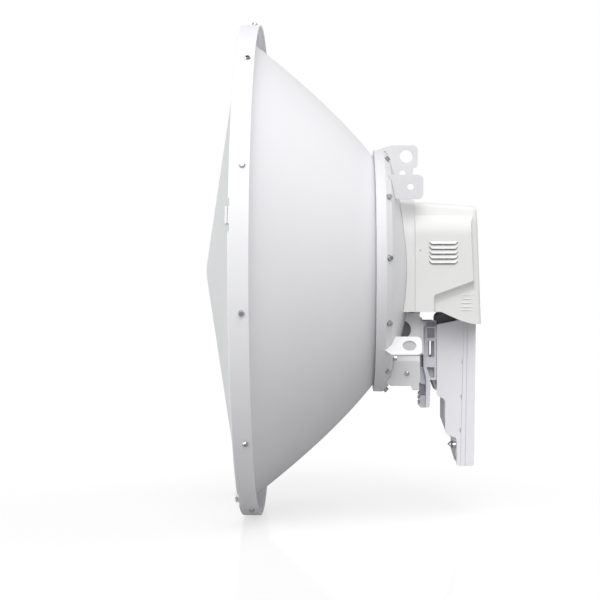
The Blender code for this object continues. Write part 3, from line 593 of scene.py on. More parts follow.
    @staticmethod
    def stud(radius: float, height: float, sides: int, edge: float) -> Solid:
        """A prism that stands on the XY plane, with a bevelled upper rim.

        Args:
            radius: The distance of its corners from its axis.
            height: How high it stands.
            sides: How many sides it has.
            edge: The bevel of its upper rim.

        Returns:
            The prism.
        """
        work = bmesh.new()
        bmesh.ops.create_cone(work, cap_ends=True, segments=sides, radius1=radius, radius2=radius,
                              depth=height)
        bmesh.ops.translate(work, verts=work.verts, vec=(0.0, 0.0, height / 2.0))
        return Form.rounded(work, Form.lines(work, lambda at: at.z > height * 0.9), edge)

    @staticmethod
    def dome(radius: float, height: float, socket: float, steps: int = 28, flat: float = 0.0) -> Solid:
        """A domed screw head on the YZ plane that stands out along X.

        Args:
            radius: Its radius at the foot.
            height: How high it stands.
            socket: The radius of its round socket.
            steps: How many steps its turn has.
            flat: The radius of the flat round the socket, or 0 for a narrow one.

        Returns:
            The head.
        """
        return Form.turned([
            (-SINK, 0.0), (-SINK, radius), (height * 0.25, radius, 0.0003),
            (height * 0.75, radius * 0.80, height * 0.6), (height, max(flat, socket * 1.25), 0.0002),
            (height, socket), (height * 0.35, socket * 0.9), (height * 0.35, 0.0),
        ], closed=False, steps=steps, rounding=3)

    @staticmethod
    def hexagon(radius: float, height: float) -> Solid:
        """A hexagon head on a washer, on the YZ plane and standing out along X."""
        head = Form.moved(Form.stud(radius, height, 6, 0.0003), Matrix.Translation((0.0, 0.0, 0.0005)))
        washer = Form.stud(radius * 1.25, 0.0006, 24, 0.0002)
        return Form.moved(Form.joined([washer, head]), Matrix.Rotation(math.pi / 2.0, 4, "Y"))

    @staticmethod
    def around(work: Solid, degrees: float) -> Solid:
        """Turns a solid drawn at the near side to its angle round the dish, near side up."""
        return Form.moved(work, Matrix.Rotation(-math.radians(degrees), 4, "X"))

    @staticmethod
    def ringed(make: Callable[[], Solid], first: float, count: int) -> Solid:
        """Copies of a piece at equal steps round the dish, from a first angle in degrees."""
        return Form.joined(Form.around(make(), first + index * 360.0 / count) for index in range(count))

    @staticmethod
    def carved(work: Solid, tool: Solid, how: Cut = Cut.AWAY, whole: bool = True) -> Solid:
        """Cuts one solid with another, or joins them.

        Args:
            work: The solid that is changed.
            tool: The solid that changes it.
            how: Whether the tool is taken away, kept in common or added.
            whole: Whether flat faces are made whole again; not where many holes are cut in one face.

        Returns:
            The result.
        """
        item, cutter = (set_out("bench", Form.mesh(solid, "bench")) for solid in (work, tool))
        step = item.modifiers.new("cut", "BOOLEAN")
        step.operation = how.value
        step.solver = "EXACT"
        step.object = cutter
        bpy.context.view_layer.update()
        mesh = bpy.data.meshes.new_from_object(item.evaluated_get(bpy.context.evaluated_depsgraph_get()))
        for spent in (item, cutter):
            bpy.data.objects.remove(spent, do_unlink=True)
        made = bmesh.new()
        made.from_mesh(mesh)
        bpy.data.meshes.remove(mesh)
        bmesh.ops.remove_doubles(made, verts=made.verts, dist=MERGE)
        return Form.flattened(made, 0.2) if whole else made


def set_out(name: str, data: bpy.types.ID) -> bpy.types.Object:
    """Puts a mesh or a camera in the scene as an object."""
    item = bpy.data.objects.new(name, data)
    bpy.context.scene.collection.objects.link(item)
    return item


class Shop:
    """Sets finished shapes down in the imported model's frame and dresses them."""

    @staticmethod
    def piece(name: str, work: Solid, finish: Finish, node: str = "", crease: float = 50.0) -> None:
        """Makes a piece of the object from a solid, riding on the fixed body.

        Args:
            name: The piece's name.
            work: Its shape in the dish frame; it is used up.
            finish: Its finish.
            node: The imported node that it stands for, if any.
            crease: The angle in degrees from which an edge is shaded sharp.
        """
        open_edges = sum(1 for line in work.edges if len(line.link_faces) != 2)
        bmesh.ops.translate(work, verts=work.verts, vec=ORIGIN)
        mesh = Form.mesh(work, name)
        mesh.shade_smooth()
        mesh.set_sharp_from_angle(angle=math.radians(crease))
        mesh.materials.append(finish.material())
        item = set_out(name, mesh)
        item.modifiers.new("flat faces stay flat", "WEIGHTED_NORMAL").keep_sharp = True
        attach(item, BODY)
        if node:
            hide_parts(node)
        if open_edges:
            LOG.warning("%s has %d open edges", name, open_edges)
        LOG.info("%s: %d faces, stands for %s", name, len(mesh.polygons), node or "nothing")

    @staticmethod
    def pair(name: str, make: Callable[[Side], Solid], finish: Finish, nodes: tuple[str, str]) -> None:
        """Makes the near and the far piece of a pair.

        Args:
            name: The pieces' name, to which the side is added.
            make: Makes the shape of one side.
            finish: Their finish.
            nodes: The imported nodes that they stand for, the near one first.
        """
        for side, node in zip(Side, nodes):
            Shop.piece(f"{name}_{side.name.lower()}", make(side), finish, node)


# Sub-assemblies


@dataclass
class Rim:
    """The hoop round the dish, its clips and its bolts, and the radome that it holds."""

    radius: float = 0.3250
    width: float = 0.0240
    sheet: float = 0.0016
    lip: float = 0.0080
    lip_bend: float = 0.0014
    edge: float = 0.0006
    clip_count: int = 5
    clip_first: float = 10.0
    clip_width: float = 0.0200
    clip_thickness: float = 0.0028
    clip_inset: float = 0.0005
    clip_edge: float = 0.0009
    notch_width: float = 0.0090
    notch_depth: float = 0.0019
    bolt_count: int = 12
    bolt_first: float = -9.56
    bolt_x: float = -0.0085
    bolt_radius: float = 0.0038
    bolt_height: float = 0.0030
    bolt_socket: float = 0.0008
    bolt_flat: float = 0.0026
    bolt_steps: int = 12
    radome_slope: float = 0.176
    radome_wall: float = 0.0022
    radome_flat: float = 0.0090
    radome_bend: float = 0.0080
    radome_tip: float = 0.0060
    tip_shares: Numbers = (0.0, 0.25, 0.6, 1.0, 2.0)
    cone_shares: Numbers = (0.08, 0.2, 0.4, 0.6, 0.8)

    @property
    def radome_face(self) -> float:
        """Where the radome's flat edge lies along the axis."""
        return -self.width + self.sheet + GAP

    def clip_angles(self) -> list[float]:
        """The clips' angles in degrees."""
        return [self.clip_first + index * 360.0 / self.clip_count for index in range(self.clip_count)]

    def radome(self) -> Solid:
        """A shallow cone shell with a soft tip and a flat edge."""
        edge = self.radius - self.sheet - GAP
        flat = edge - self.radome_flat
        tip = self.radome_face - self.radome_slope * flat
        wall = self.radome_wall * math.hypot(1.0, self.radome_slope)
        radii = [self.radome_tip * share for share in self.tip_shares]
        radii += [flat * share for share in self.cone_shares]
        outer = [(tip + self.radome_slope * math.hypot(radius, self.radome_tip), radius) for radius in radii]
        outer += [(self.radome_face, flat, self.radome_bend), (self.radome_face, edge)]
        inner = [(x + wall, *rest) for x, *rest in reversed(outer)]
        return Form.turned(outer + inner, closed=False)

    def hoop(self) -> Solid:
        """The band with a front lip, cut away beside each clip."""
        front = -self.width
        inner = self.radius - self.sheet
        lip = self.radius - self.lip
        work = Form.turned([
            (0.0, self.radius, self.edge), (front, self.radius, self.lip_bend), (front, lip, self.edge),
            (front + self.sheet, lip, self.edge), (front + self.sheet, inner), (0.0, inner, self.edge),
        ])
        notches = []
        for angle in self.clip_angles():
            for way in (-1.0, 1.0):
                start = way * self.clip_width / 2.0
                low = (front - SPARE, -self.radius - SPARE, start)
                high = (front + self.notch_depth, SPARE - lip, start + way * self.notch_width)
                notches.append(Form.around(Form.block((low, high)), angle))
        return Form.carved(work, Form.joined(notches))

    def clip(self, angle: float) -> Solid:
        """A clip pressed from sheet, on the hoop's front at an angle in degrees."""
        front = -self.width - GAP
        low = (front - self.clip_thickness, self.clip_inset - self.radius, -self.clip_width / 2.0)
        high = (front, self.lip - self.radius, self.clip_width / 2.0)
        return Form.around(Form.block((low, high), self.clip_edge), angle)

    def bolt(self) -> Solid:
        """A screw of the hoop, with a domed head and a round socket, drawn at the near side."""
        out = Matrix.Translation((self.bolt_x, -self.radius, 0.0)) @ Matrix.Rotation(-math.pi / 2.0, 4, "Z")
        head = Form.dome(self.bolt_radius, self.bolt_height, self.bolt_socket, self.bolt_steps,
                         self.bolt_flat)
        return Form.moved(head, out)

    def build(self) -> None:
        """Makes the radome, the hoop, the clips and the bolts."""
        Shop.piece("radome_shell", self.radome(), Palette.RADOME, "radome")
        Shop.piece("hoop_band", self.hoop(), Palette.BAND, "rim_hoop")
        for number, angle in enumerate(self.clip_angles(), start=1):
            Shop.piece(f"hoop_clip_{number}", self.clip(angle), Palette.BAND, f"rim_clip_{number}")
        bolts = Form.ringed(self.bolt, self.bolt_first, self.bolt_count)
        Shop.piece("hoop_bolts", bolts, Palette.SCREW, crease=30.0)


@dataclass
class Dish:
    """The deep reflector inside the hoop."""

    rim: Rim
    bowl_radius: float = 0.29276
    focus: float = 0.115435
    easing: float = 0.2511
    wall: float = 0.0020
    tail: float = 0.1502
    lip_back: float = -0.0030
    lip_bend: float = 0.0025
    flange_bend: float = 0.0015
    rings: int = 20

    def radius_at(self, along: float) -> float:
        """Outer radius of the bowl at a distance behind the rim's back plane."""
        return math.sqrt(self.bowl_radius ** 2 - 4.0 * self.focus * along + self.easing * along ** 2)

    def slope_at(self, along: float) -> float:
        """How fast the bowl's radius falls along the axis."""
        return (2.0 * self.focus - self.easing * along) / self.radius_at(along)

    def bowl(self) -> Solid:
        """The bowl with a flange and a lip turned back inside the hoop."""
        flange = self.rim.radome_face + self.rim.radome_wall + GAP + self.wall
        lip = self.rim.radius - self.rim.sheet - GAP
        spots = [flange + (self.tail - flange) * index / self.rings for index in range(self.rings + 1)]
        outer = [(x, self.radius_at(x)) for x in reversed(spots[1:])]
        inner = [(x, self.radius_at(x) - self.wall * math.hypot(1.0, self.slope_at(x))) for x in spots[1:]]
        fold = [
            (flange, self.radius_at(flange), self.flange_bend), (flange, lip - self.wall),
            (self.lip_back, lip - self.wall), (self.lip_back, lip), (flange - self.wall, lip, self.lip_bend),
            (flange - self.wall, self.radius_at(flange) - self.wall),
        ]
        return Form.turned(outer + fold + inner)

    def build(self) -> None:
        """Makes the reflector."""
        Shop.piece("reflector_bowl", self.bowl(), Palette.BOWL, "reflector")


@dataclass
class Hub:
    """The ring that clamps the reflector's back, its bolts, and the dished plate in its seat.

    A bolt's head is given as (radius, height), and the plate's bolt as (y, z).
    """

    dish: Dish
    ring_radius: float = 0.1616
    ring_front: float = 0.1477
    chamfer_start: float = 0.1602
    ring_back: float = 0.1677
    back_radius: float = 0.1535
    seat_radius: float = 0.1530
    bore: float = 0.1480
    slope: float = 0.303
    flat_radius: float = 0.0800
    flat_bend: float = 0.0120
    ring_bends: Numbers = (0.0008, 0.0015, 0.0010)
    ahead: float = 0.0300
    clearance: float = 0.0004
    bolt_count: int = 12
    bolt_first: float = 4.55
    bolt_x: float = 0.1632
    bolt_radius: float = 0.1579
    bolt_head: Point = (0.0033, 0.0037)
    plate_bolt: Point = (0.0808, 0.1137)
    plate_bolt_head: Point = (0.0034, 0.0040)

    def line(self, radius: float) -> float:
        """How far back the hub's cone lies at a radius."""
        return self.ring_back + self.slope * (self.back_radius - radius)

    def ring(self) -> Solid:
        """The clamp ring with its sloping bolt face."""
        dish = self.dish
        back, slope, front = self.ring_bends
        seat = SHEET * math.hypot(1.0, self.slope) + GAP
        return Form.turned([
            (self.line(self.seat_radius), self.seat_radius), (self.ring_back, self.back_radius, back),
            (self.chamfer_start, self.ring_radius, slope), (self.ring_front, self.ring_radius, front),
            (self.ring_front, dish.radius_at(self.ring_front) + GAP),
            (dish.tail + 2.0 * GAP, dish.radius_at(dish.tail) + 4.0 * GAP),
            (dish.tail + dish.wall, self.bore), (self.line(self.bore) - seat, self.bore),
            (self.line(self.seat_radius) - seat, self.seat_radius),
        ])

    def plate(self) -> Solid:
        """The dished plate, closed over the axis."""
        edge = self.seat_radius - GAP
        flat = self.line(self.flat_radius)
        depth = SHEET * math.hypot(1.0, self.slope)
        return Form.turned([
            (flat, 0.0), (flat, self.flat_radius, self.flat_bend), (self.line(edge), edge),
            (self.line(edge) - depth, edge), (flat - depth, self.flat_radius, self.flat_bend),
            (flat - depth, 0.0),
        ], closed=False, rounding=8)

    def envelope(self) -> Solid:
        """A solid slightly larger than the hub, for the pieces that are fitted to it."""
        flat = self.line(self.flat_radius) + self.clearance
        front = self.ring_front - self.ahead
        outside = self.ring_radius + self.clearance
        return Form.turned([
            (flat, 0.0), (flat, self.flat_radius), (self.ring_back + self.clearance, self.back_radius),
            (self.chamfer_start + self.clearance, outside), (front, outside), (front, 0.0),
        ], closed=False, steps=96)

    def ring_bolt(self) -> Solid:
        """A hexagon head on the ring's sloping face, drawn at the near side."""
        lean = math.atan2(self.ring_back - self.chamfer_start, self.ring_radius - self.back_radius)
        out = Matrix.Translation((self.bolt_x, -self.bolt_radius, 0.0)) @ Matrix.Rotation(-lean, 4, "Z")
        return Form.moved(Form.hexagon(*self.bolt_head), out)

    def bolts(self) -> Solid:
        """The ring's hexagon heads, one every 30 degrees, and the plate's four."""
        heads = [Form.ringed(self.ring_bolt, self.bolt_first, self.bolt_count)]
        seat = self.line(math.hypot(*self.plate_bolt)) - SINK
        for z in (-self.plate_bolt[1], self.plate_bolt[1]):
            for side in Side:
                spot = Matrix.Translation((seat, side * self.plate_bolt[0], z))
                heads.append(Form.moved(Form.hexagon(*self.plate_bolt_head), spot))
        return Form.joined(heads)

    def build(self) -> None:
        """Makes the ring, the plate and the bolts."""
        Shop.piece("clamp_ring", self.ring(), Palette.BRACKET, "hub_ring")
        Shop.piece("dished_plate", self.plate(), Palette.BRACKET, "hub_plate")
        Shop.piece("ring_bolts", self.bolts(), Palette.SCREW, crease=30.0)


@dataclass
class Bracket:
    """The rear bracket's sheet metal: cheeks and ears, all fitted to the hub, and what they carry.

    The views are outlines seen from the side, as (x, z) or (x, z, rounding radius). A hole is given as
    (x, z, radius), and the pivot's head as (radius, height, socket radius).
    """

    hub: Hub
    edge: float = 0.0005
    front: float = 0.1540
    cheek_y: float = 0.0655
    cheek_jog: float = 0.0045
    cheek_back: float = 0.2098
    bend_top: float = -0.1117
    bend_low: float = -0.1182
    bend_end: float = -0.3120
    bends: Point = (0.0030, 0.0040)
    cheek_view: Outline = (
        (0.1540, -0.1447), (0.1630, -0.1467), (0.1690, -0.1507), (0.1951, -0.1507),
        (0.1973, -0.1560, 0.0008), (0.2058, -0.1560, 0.0015), (0.2058, -0.1467), (0.2068, -0.1447),
        (0.2068, -0.0560, 0.0040), (0.1540, -0.0560),
    )
    notch: Corner = (0.1830, -0.0778, 0.0123)
    side_y: float = 0.1040
    side_view: Outline = (
        (0.1540, 0.0890), (0.2086, 0.0890, 0.0068), (0.2086, 0.1200, 0.0068), (0.1540, 0.1200),
    )
    side_hole: Corner = (0.1925, 0.1048, 0.00415)
    top_view: Outline = (
        (0.1565, 0.1225), (0.2051, 0.1225), (0.2051, 0.1447, 0.0020), (0.2116, 0.1447, 0.0068),
        (0.2116, 0.1756, 0.0068), (0.1745, 0.1756, 0.0020), (0.1565, 0.1695),
    )
    top_holes: Outline = ((0.1954, 0.1604, 0.0090), (0.1906, 0.1371, 0.00415))
    slant_centre: Point = (-0.1210, -0.0974)
    slant_view: Outline = (
        (0.1540, -0.0070), (0.1585, -0.0070, 0.0010), (0.1672, -0.0156, 0.0030), (0.2055, -0.0156, 0.0068),
        (0.2055, 0.0156, 0.0068), (0.1540, 0.0156),
    )
    slant_hole: Corner = (0.1900, 0.0, 0.0086)
    pivot_bolt: Point = (0.1899, -0.1344)
    pivot_head: Numbers = (0.0036, 0.0026, 0.0012)
    hook_y: float = 0.0500
    hook_width: float = 0.0160
    hook_edge: float = 0.0004
    hook_view: Outline = (
        (0.2058, -0.0622), (0.2068, -0.0612, 0.0006), (0.2094, -0.0618, 0.0006), (0.2112, -0.0668, 0.0010),
        (0.2140, -0.0686, 0.0010), (0.2140, -0.0738, 0.0004), (0.2118, -0.0738, 0.0004),
        (0.2114, -0.0705, 0.0008), (0.2070, -0.0655, 0.0004), (0.2058, -0.0655),
    )
    clip: Box = ((0.1994, 0.0568, -0.0577), (0.2070, 0.0636, -0.0546))
    # A black block behind the cheeks' notches: painted shade for the dark hollow seen through them.
    notch_shade: Box = ((0.1830, -0.0550, -0.1040), (0.1987, 0.0550, -0.0640))

    def fitted(self, work: Solid) -> Solid:
        """Cuts a sheet piece to the hub and rounds its edges."""
        return Form.eased(Form.carved(work, self.hub.envelope()), self.edge)

    def section(self, side: Side) -> list[Corner]:
        """Cross-section of a cheek's sheet as (y, z, rounding): straight, bent outwards, straight."""
        lean = math.atan2(self.cheek_jog, self.bend_top - self.bend_low)
        drop = SHEET * math.tan(lean / 2.0)
        upper = self.cheek_y - self.cheek_jog
        outer = [(self.cheek_y, self.bend_end), (self.cheek_y, self.bend_low, self.bends[1]),
                 (upper, self.bend_top, self.bends[0]), (upper, 0.0)]
        inner = [(y - SHEET, z - drop, *rounding) for y, z, *rounding in reversed(outer)]
        return [(side * y, *rest) for y, *rest in outer + inner]

    def cheek(self, side: Side) -> Solid:
        """A lower cheek, cut to its side view, with a cable notch."""
        work = Form.bar(self.section(side), self.front, self.cheek_back)
        view = Form.plate(self.cheek_view, self.cheek_y, holes=[self.notch])
        return self.fitted(Form.carved(work, Form.upright(view, side * self.cheek_y), Cut.COMMON))

    def side_ear(self, side: Side) -> Solid:
        """A small bolted ear; the far one is the near one after half a turn about the axis."""
        work = Form.plate(self.side_view, SHEET, holes=[self.side_hole])
        return Form.moved(self.fitted(Form.upright(work, SHEET / 2.0 - self.side_y)), side.half_turn)

    def top_ear(self) -> Solid:
        """The tall far ear with a rod hole and a bolt hole."""
        work = Form.plate(self.top_view, SHEET, holes=self.top_holes)
        return self.fitted(Form.upright(work, self.cheek_y - SHEET / 2.0))

    def slant_ear(self, side: Side) -> Solid:
        """An ear set at 45 degrees; the far one is the near one after half a turn about the axis."""
        lean = Matrix.Translation((0.0, *self.slant_centre)) @ Matrix.Rotation(math.radians(45.0), 4, "X")
        work = Form.moved(Form.plate(self.slant_view, SHEET, holes=[self.slant_hole]), lean)
        return Form.moved(self.fitted(work), side.half_turn)

    def pivot_bolts(self) -> Solid:
        """Domed heads through the lower cheeks."""
        heads = []
        for side in Side:
            spot = Matrix.Translation((self.pivot_bolt[0], side * self.cheek_y, self.pivot_bolt[1]))
            turn = Matrix.Rotation(side * math.pi / 2.0, 4, "Z")
            heads.append(Form.moved(Form.dome(*self.pivot_head), spot @ turn))
        return Form.joined(heads)

    def hooks(self) -> Solid:
        """Small bent clips behind the cheeks' upper corners, that hold the mount's top."""
        view, width, edge = self.hook_view, self.hook_width, self.hook_edge
        return Form.joined(Form.slab(view, width, edge, side * self.hook_y, 40.0) for side in Side)

    def build(self) -> None:
        """Makes the cheeks, the ears, the cheeks' bolts and clips, and a black block behind their notches
        that paints the shade seen through them.
        """
        paint = Palette.BRACKET
        Shop.pair("cheek", self.cheek, paint, ("bracket_cheek_near", "bracket_cheek_far"))
        Shop.pair("bolted_ear", self.side_ear, paint, ("side_ear_upper_near", "side_ear_lower_far"))
        Shop.piece("tall_ear_far", self.top_ear(), paint, "top_ear_far")
        Shop.pair("tilt_ear", self.slant_ear, paint, ("slant_ear_lower_near", "slant_ear_upper_far"))
        Shop.piece("pivot_bolts", self.pivot_bolts(), Palette.STEEL, crease=30.0)
        # The hooks wear the mount plastic's darker copy: painted shade under the cover.
        Shop.piece("mount_hooks", self.hooks(), Palette.MOUNT_PAINTED_SHADE)
        Shop.piece("cheek_clips", Form.twins(self.clip, 0.0006), paint)
        # Black block that paints the shade seen through the notches.
        Shop.piece("notch_shade_block", Form.block(self.notch_shade, 0.0015), Palette.BLACK)


@dataclass
class Cover:
    """The two-part plastic cover over the feed: a collar on the hub and a vented rear shell.

    A tuck is the height from which the sides lean inwards, and how steeply. Each row of the flare is a
    distance from the middle plane, and how far the raised sides are grown there at their step, their slope
    and their rear.
    """

    hub: Hub
    collar_front: float = 0.1700
    collar_back: float = 0.1991
    collar_half: float = 0.0854
    collar_top: Point = (0.0932, 0.0902)
    back_high: float = 0.2795
    back_low: float = 0.2853
    half: float = 0.0780
    top_front: float = 0.0882
    top_back: float = 0.0826
    bottom: float = -0.0545
    low_point: float = -0.0702
    top_round: float = 0.0070
    collar_tuck: Point = (0.0460, 0.25)
    shell_tuck: Point = (0.0640, 0.30)
    tuck_round: float = 0.0060
    back_round: float = 0.0070
    wall: float = 0.0025
    reach: float = 0.0100
    skirt: Outline = ((0.2745, -0.0702, 0.0200), (0.2580, -0.0655), (0.2335, -0.0545, 0.0060))
    bulge_half: float = 0.0862
    bulge_top: float = 0.0835
    bulge_round: float = 0.0400
    bulge_back: float = 0.2737
    bulge_lean: float = 0.0055
    bulge_step: Point = (0.2230, -0.0330)
    bulge_end: float = -0.0145
    bulge_bends: Point = (0.0050, 0.0030)
    flare: Outline = (
        (0.0862, 0.0, 0.0, 0.0), (0.0855, 0.0003, 0.0006, 0.0005), (0.0838, 0.0006, 0.0016, 0.0010),
        (0.0814, 0.0010, 0.0035, 0.0016), (0.0797, 0.0016, 0.0060, 0.0024), (0.0786, 0.0024, 0.0088, 0.0034),
        (0.0779, 0.0034, 0.0122, 0.0046), (0.0778, 0.0, 0.0, 0.0),
    )
    louvre_count: int = 5
    louvre_front: float = 0.2171
    louvre_back: float = 0.2540
    louvre_top: float = 0.0327
    louvre_pitch: float = 0.00615
    louvre_slot: float = 0.0017
    louvre_rise: float = 0.0030
    louvre_run: float = 0.0034
    louvre_hood: float = 0.0024
    louvre_root: float = 0.0005
    louvre_lap: float = 0.0008
    louvre_edge: float = 0.0002
    louvre_post: Point = (0.2355, 0.0012)
    rib_heights: Numbers = (-0.0330, -0.0378, -0.0429, -0.0481, -0.0519)
    rib_ends: Point = (0.2596, 0.2724)
    rib_y: Point = (0.0775, 0.0788)
    rib_half: float = 0.0004
    # Grey sheets behind the louvre slots: painted shade that darkens the slots.
    slot_shade_sheet: Box = ((0.2131, 0.0822, -0.00205), (0.2580, 0.0834, 0.0407))
    sight_hole: Corner = (0.2058, 0.0245, 0.0008)

    @property
    def front(self) -> float:
        """The rear shell's front edge."""
        return self.collar_back + GAP

    def through(self, outline: Sequence[Corner]) -> Solid:
        """A block with an outline drawn as (x, z), that reaches past both sides of the cover."""
        return Form.upright(Form.plate(outline, 4.0 * self.bulge_half))

    def hood(self, front: float, back: Point, half: float, top: Point, bottom: float, edge: float,
             back_edge: float = 0.0, tuck: Point = (0.0, 0.0)) -> Solid:
        """A block with a falling top and a leaning back.

        Args:
            front: Its front face.
            back: Its back, low and high.
            half: Half its width.
            top: Its top, at the front and at the back.
            bottom: Its underside.
            edge: The rounding of its long upper edges.
            back_edge: The rounding of its back.
            tuck: The height from which its sides lean inwards, and how steeply.

        Returns:
            The block.
        """
        work = bmesh.new()
        bmesh.ops.create_cube(work, size=2.0)
        for point in work.verts:
            rear, high = point.co.x > 0.0, point.co.z > 0.0
            x = back[high] if rear else front
            point.co = (x, math.copysign(half, point.co.y), top[rear] if high else bottom)
        start, lean = tuck
        if lean > 0.0:
            bmesh.ops.bisect_plane(work, geom=work.verts[:] + work.edges[:] + work.faces[:], dist=MERGE,
                                   plane_co=(0.0, 0.0, start), plane_no=(0.0, 0.0, 1.0))
            for point in work.verts:
                point.co.y -= math.copysign(lean * max(0.0, point.co.z - start), point.co.y)
            work.normal_update()
            Form.flattened(work, 1.0)
            Form.rounded(work, Form.lines(work, lambda at: abs(at.z - start) < MERGE), self.tuck_round, 4)
            start += 1.5 * self.tuck_round
        long_top = [line for line in Form.lines(work, lambda at: at.z > start)
                    if abs(line.verts[0].co.x - line.verts[1].co.x) > 0.01]
        Form.rounded(work, long_top, edge, 12)
        if back_edge > 0.0:
            middle = (front + back[0]) / 2.0
            behind = [line for line in Form.lines(work, lambda at: at.x > middle)
                      if any(point.co.z >= 0.0 for point in line.verts)]
            Form.rounded(work, behind, back_edge, 6)
        return work

    def collar(self) -> Solid:
        """The front part, fitted to the hub."""
        shapes = []
        for wall, past in ((0.0, 0.0), (self.wall, self.reach)):
            top = (self.collar_top[0] - wall, self.collar_top[1] - wall)
            shapes.append(self.hood(self.collar_front - past, (self.collar_back + past,) * 2,
                                    self.collar_half - wall, top, self.bottom - past, self.top_round - wall,
                                    tuck=self.collar_tuck))
        return Form.carved(Form.carved(*shapes), self.hub.envelope())

    def bulge_outline(self, step: float, down: float, rear: float) -> list[Corner]:
        """Outline of the raised sides, seen from the side.

        Args:
            step: How far it is grown at its step.
            down: How far its slope is lowered.
            rear: How far it is grown at its rear.

        Returns:
            Its corners, as (x, z) or (x, z, rounding radius).
        """
        front = self.front - 2.0 * self.reach
        top = self.top_front + self.reach
        bottom = self.low_point - 3.0 * self.reach
        back = self.bulge_back + rear
        x, z = self.bulge_step[0] + step, self.bulge_step[1] - down
        return [(front, bottom), (x, bottom), (x, z, self.bulge_bends[0]),
                (back, self.bulge_end - down, self.bulge_bends[1]),
                (back - self.bulge_lean, top), (front, top)]

    def keep(self, wall: float) -> Solid:
        """What the raised sides are kept within: flared outside, straight for the inside of the shell."""
        if wall > 0.0:
            return self.through(self.bulge_outline(-wall, -wall, -wall))
        levels = [(2.0 * self.bulge_half, *self.flare[0][1:]), *self.flare]
        sections = [(-y, self.bulge_outline(*grown)) for y, *grown in levels]
        sections += [(y, self.bulge_outline(*grown)) for y, *grown in reversed(levels)]
        return Form.upright(Form.lofted(sections))

    def form(self, wall: float) -> Solid:
        """The rear part as a solid block, less a wall: a narrow body and its raised sides."""
        reach = self.reach + wall
        front = self.front - reach
        bottom = self.low_point - reach
        fall = (self.top_front - self.top_back) / (self.back_high - self.front)
        top = (self.top_front + fall * reach - wall, self.top_back - wall)
        back = (self.back_low - wall, self.back_high - wall)
        narrow = self.hood(front, back, self.half - wall, top, bottom, self.top_round - wall,
                           self.back_round - wall, self.shell_tuck)
        wide = self.hood(front, (self.back_low,) * 2, self.bulge_half - wall, (self.bulge_top - wall,) * 2,
                         bottom, self.bulge_round - wall)
        return Form.carved(narrow, Form.carved(wide, self.keep(wall), Cut.COMMON), Cut.TOGETHER)

    def slots(self) -> Solid:
        """Cutters for the slots under the louvres' hoods, turned up at both ends, and the sight hole."""
        cutters = []
        post, width = self.louvre_post
        for index in range(self.louvre_count):
            top = self.louvre_top - index * self.louvre_pitch
            low = top - self.louvre_slot
            half_post = width / 2.0 if index < self.louvre_count - 1 else 0.0
            for end, way in ((self.louvre_front, 1.0), (self.louvre_back, -1.0)):
                bend = end + way * self.louvre_run
                edge = post - way * half_post
                cutters.append(self.through([(end, top + self.louvre_rise), (end, low + self.louvre_rise),
                                             (bend, low), (edge, low), (edge, top), (bend, top)]))
        x, z, radius = self.sight_hole
        turn = Matrix.Translation((x, 2.0 * self.bulge_half, z)) @ Matrix.Rotation(math.pi / 2.0, 4, "X")
        cutters.append(Form.moved(Form.stud(radius, 4.0 * self.bulge_half, 16, 0.0002), turn))
        return Form.joined(cutters)

    def ribs(self) -> Solid:
        """Faint short ribs in the recesses under the raised sides."""
        front, back = self.rib_ends
        inside, outside = self.rib_y
        boxes = [((front, inside, height - self.rib_half), (back, outside, height + self.rib_half))
                 for height in self.rib_heights]
        return Form.joined(Form.twins(box, 0.0002, 2) for box in boxes)

    def shell(self) -> Solid:
        """The rear shell: body less its inside, trimmed to its skirt line, with louvre slots."""
        ahead = self.front - 3.0 * self.reach
        low = self.low_point - 3.0 * self.reach
        back = self.back_low + self.reach
        top = self.top_front + self.reach
        trim = [(ahead, low), (back, low), (back, self.low_point), *self.skirt, (self.front, self.bottom),
                (self.front, top), (ahead, top)]
        work = Form.carved(Form.carved(self.form(0.0), self.form(self.wall)), self.through(trim))
        return Form.carved(work, self.slots(), whole=False)

    def hoods(self) -> Solid:
        """Sloping hoods over the louvre slots, on both sides."""
        parts = []
        left, right = self.louvre_front, self.louvre_back
        run = self.louvre_run
        for side in Side:
            inside = side * (self.bulge_half - self.louvre_root)
            outside = side * (self.bulge_half + self.louvre_hood)
            for index in range(self.louvre_count):
                low = self.louvre_top - index * self.louvre_pitch
                top = low + self.louvre_pitch - self.louvre_slot - self.louvre_edge
                ends = low + self.louvre_rise
                work = bmesh.new()
                for x, z in ((left - self.louvre_lap, top), (right + self.louvre_lap, top), (right, ends),
                             (left, ends), (left + run, low), (right - run, low)):
                    work.verts.new((x, inside, z))
                for x in (left + run, right - run):
                    work.verts.new((x, outside, low))
                bmesh.ops.convex_hull(work, input=work.verts[:])
                parts.append(Form.eased(Form.mended(Form.flattened(work, 1.0)), self.louvre_edge, 25.0))
        return Form.joined(parts)

    def build(self) -> None:
        """Makes the collar, the rear shell, its louvres' hoods, grey sheets behind the slots that paint
        their shade, and its ribs.
        """
        Shop.piece("cover_front", self.collar(), Palette.COVER, "cover_collar", 35.0)
        Shop.piece("cover_rear", self.shell(), Palette.COVER, "cover_shell", 35.0)
        Shop.piece("louvre_hoods", self.hoods(), Palette.COVER, crease=35.0)
        # Sheets in the mount plastic's darker copy behind the slots: painted shade.
        Shop.piece("louvre_slot_shade", Form.twins(self.slot_shade_sheet, 0.0004, 2), Palette.MOUNT_PAINTED_SHADE)
        Shop.piece("cover_ribs", self.ribs(), Palette.COVER, crease=35.0)


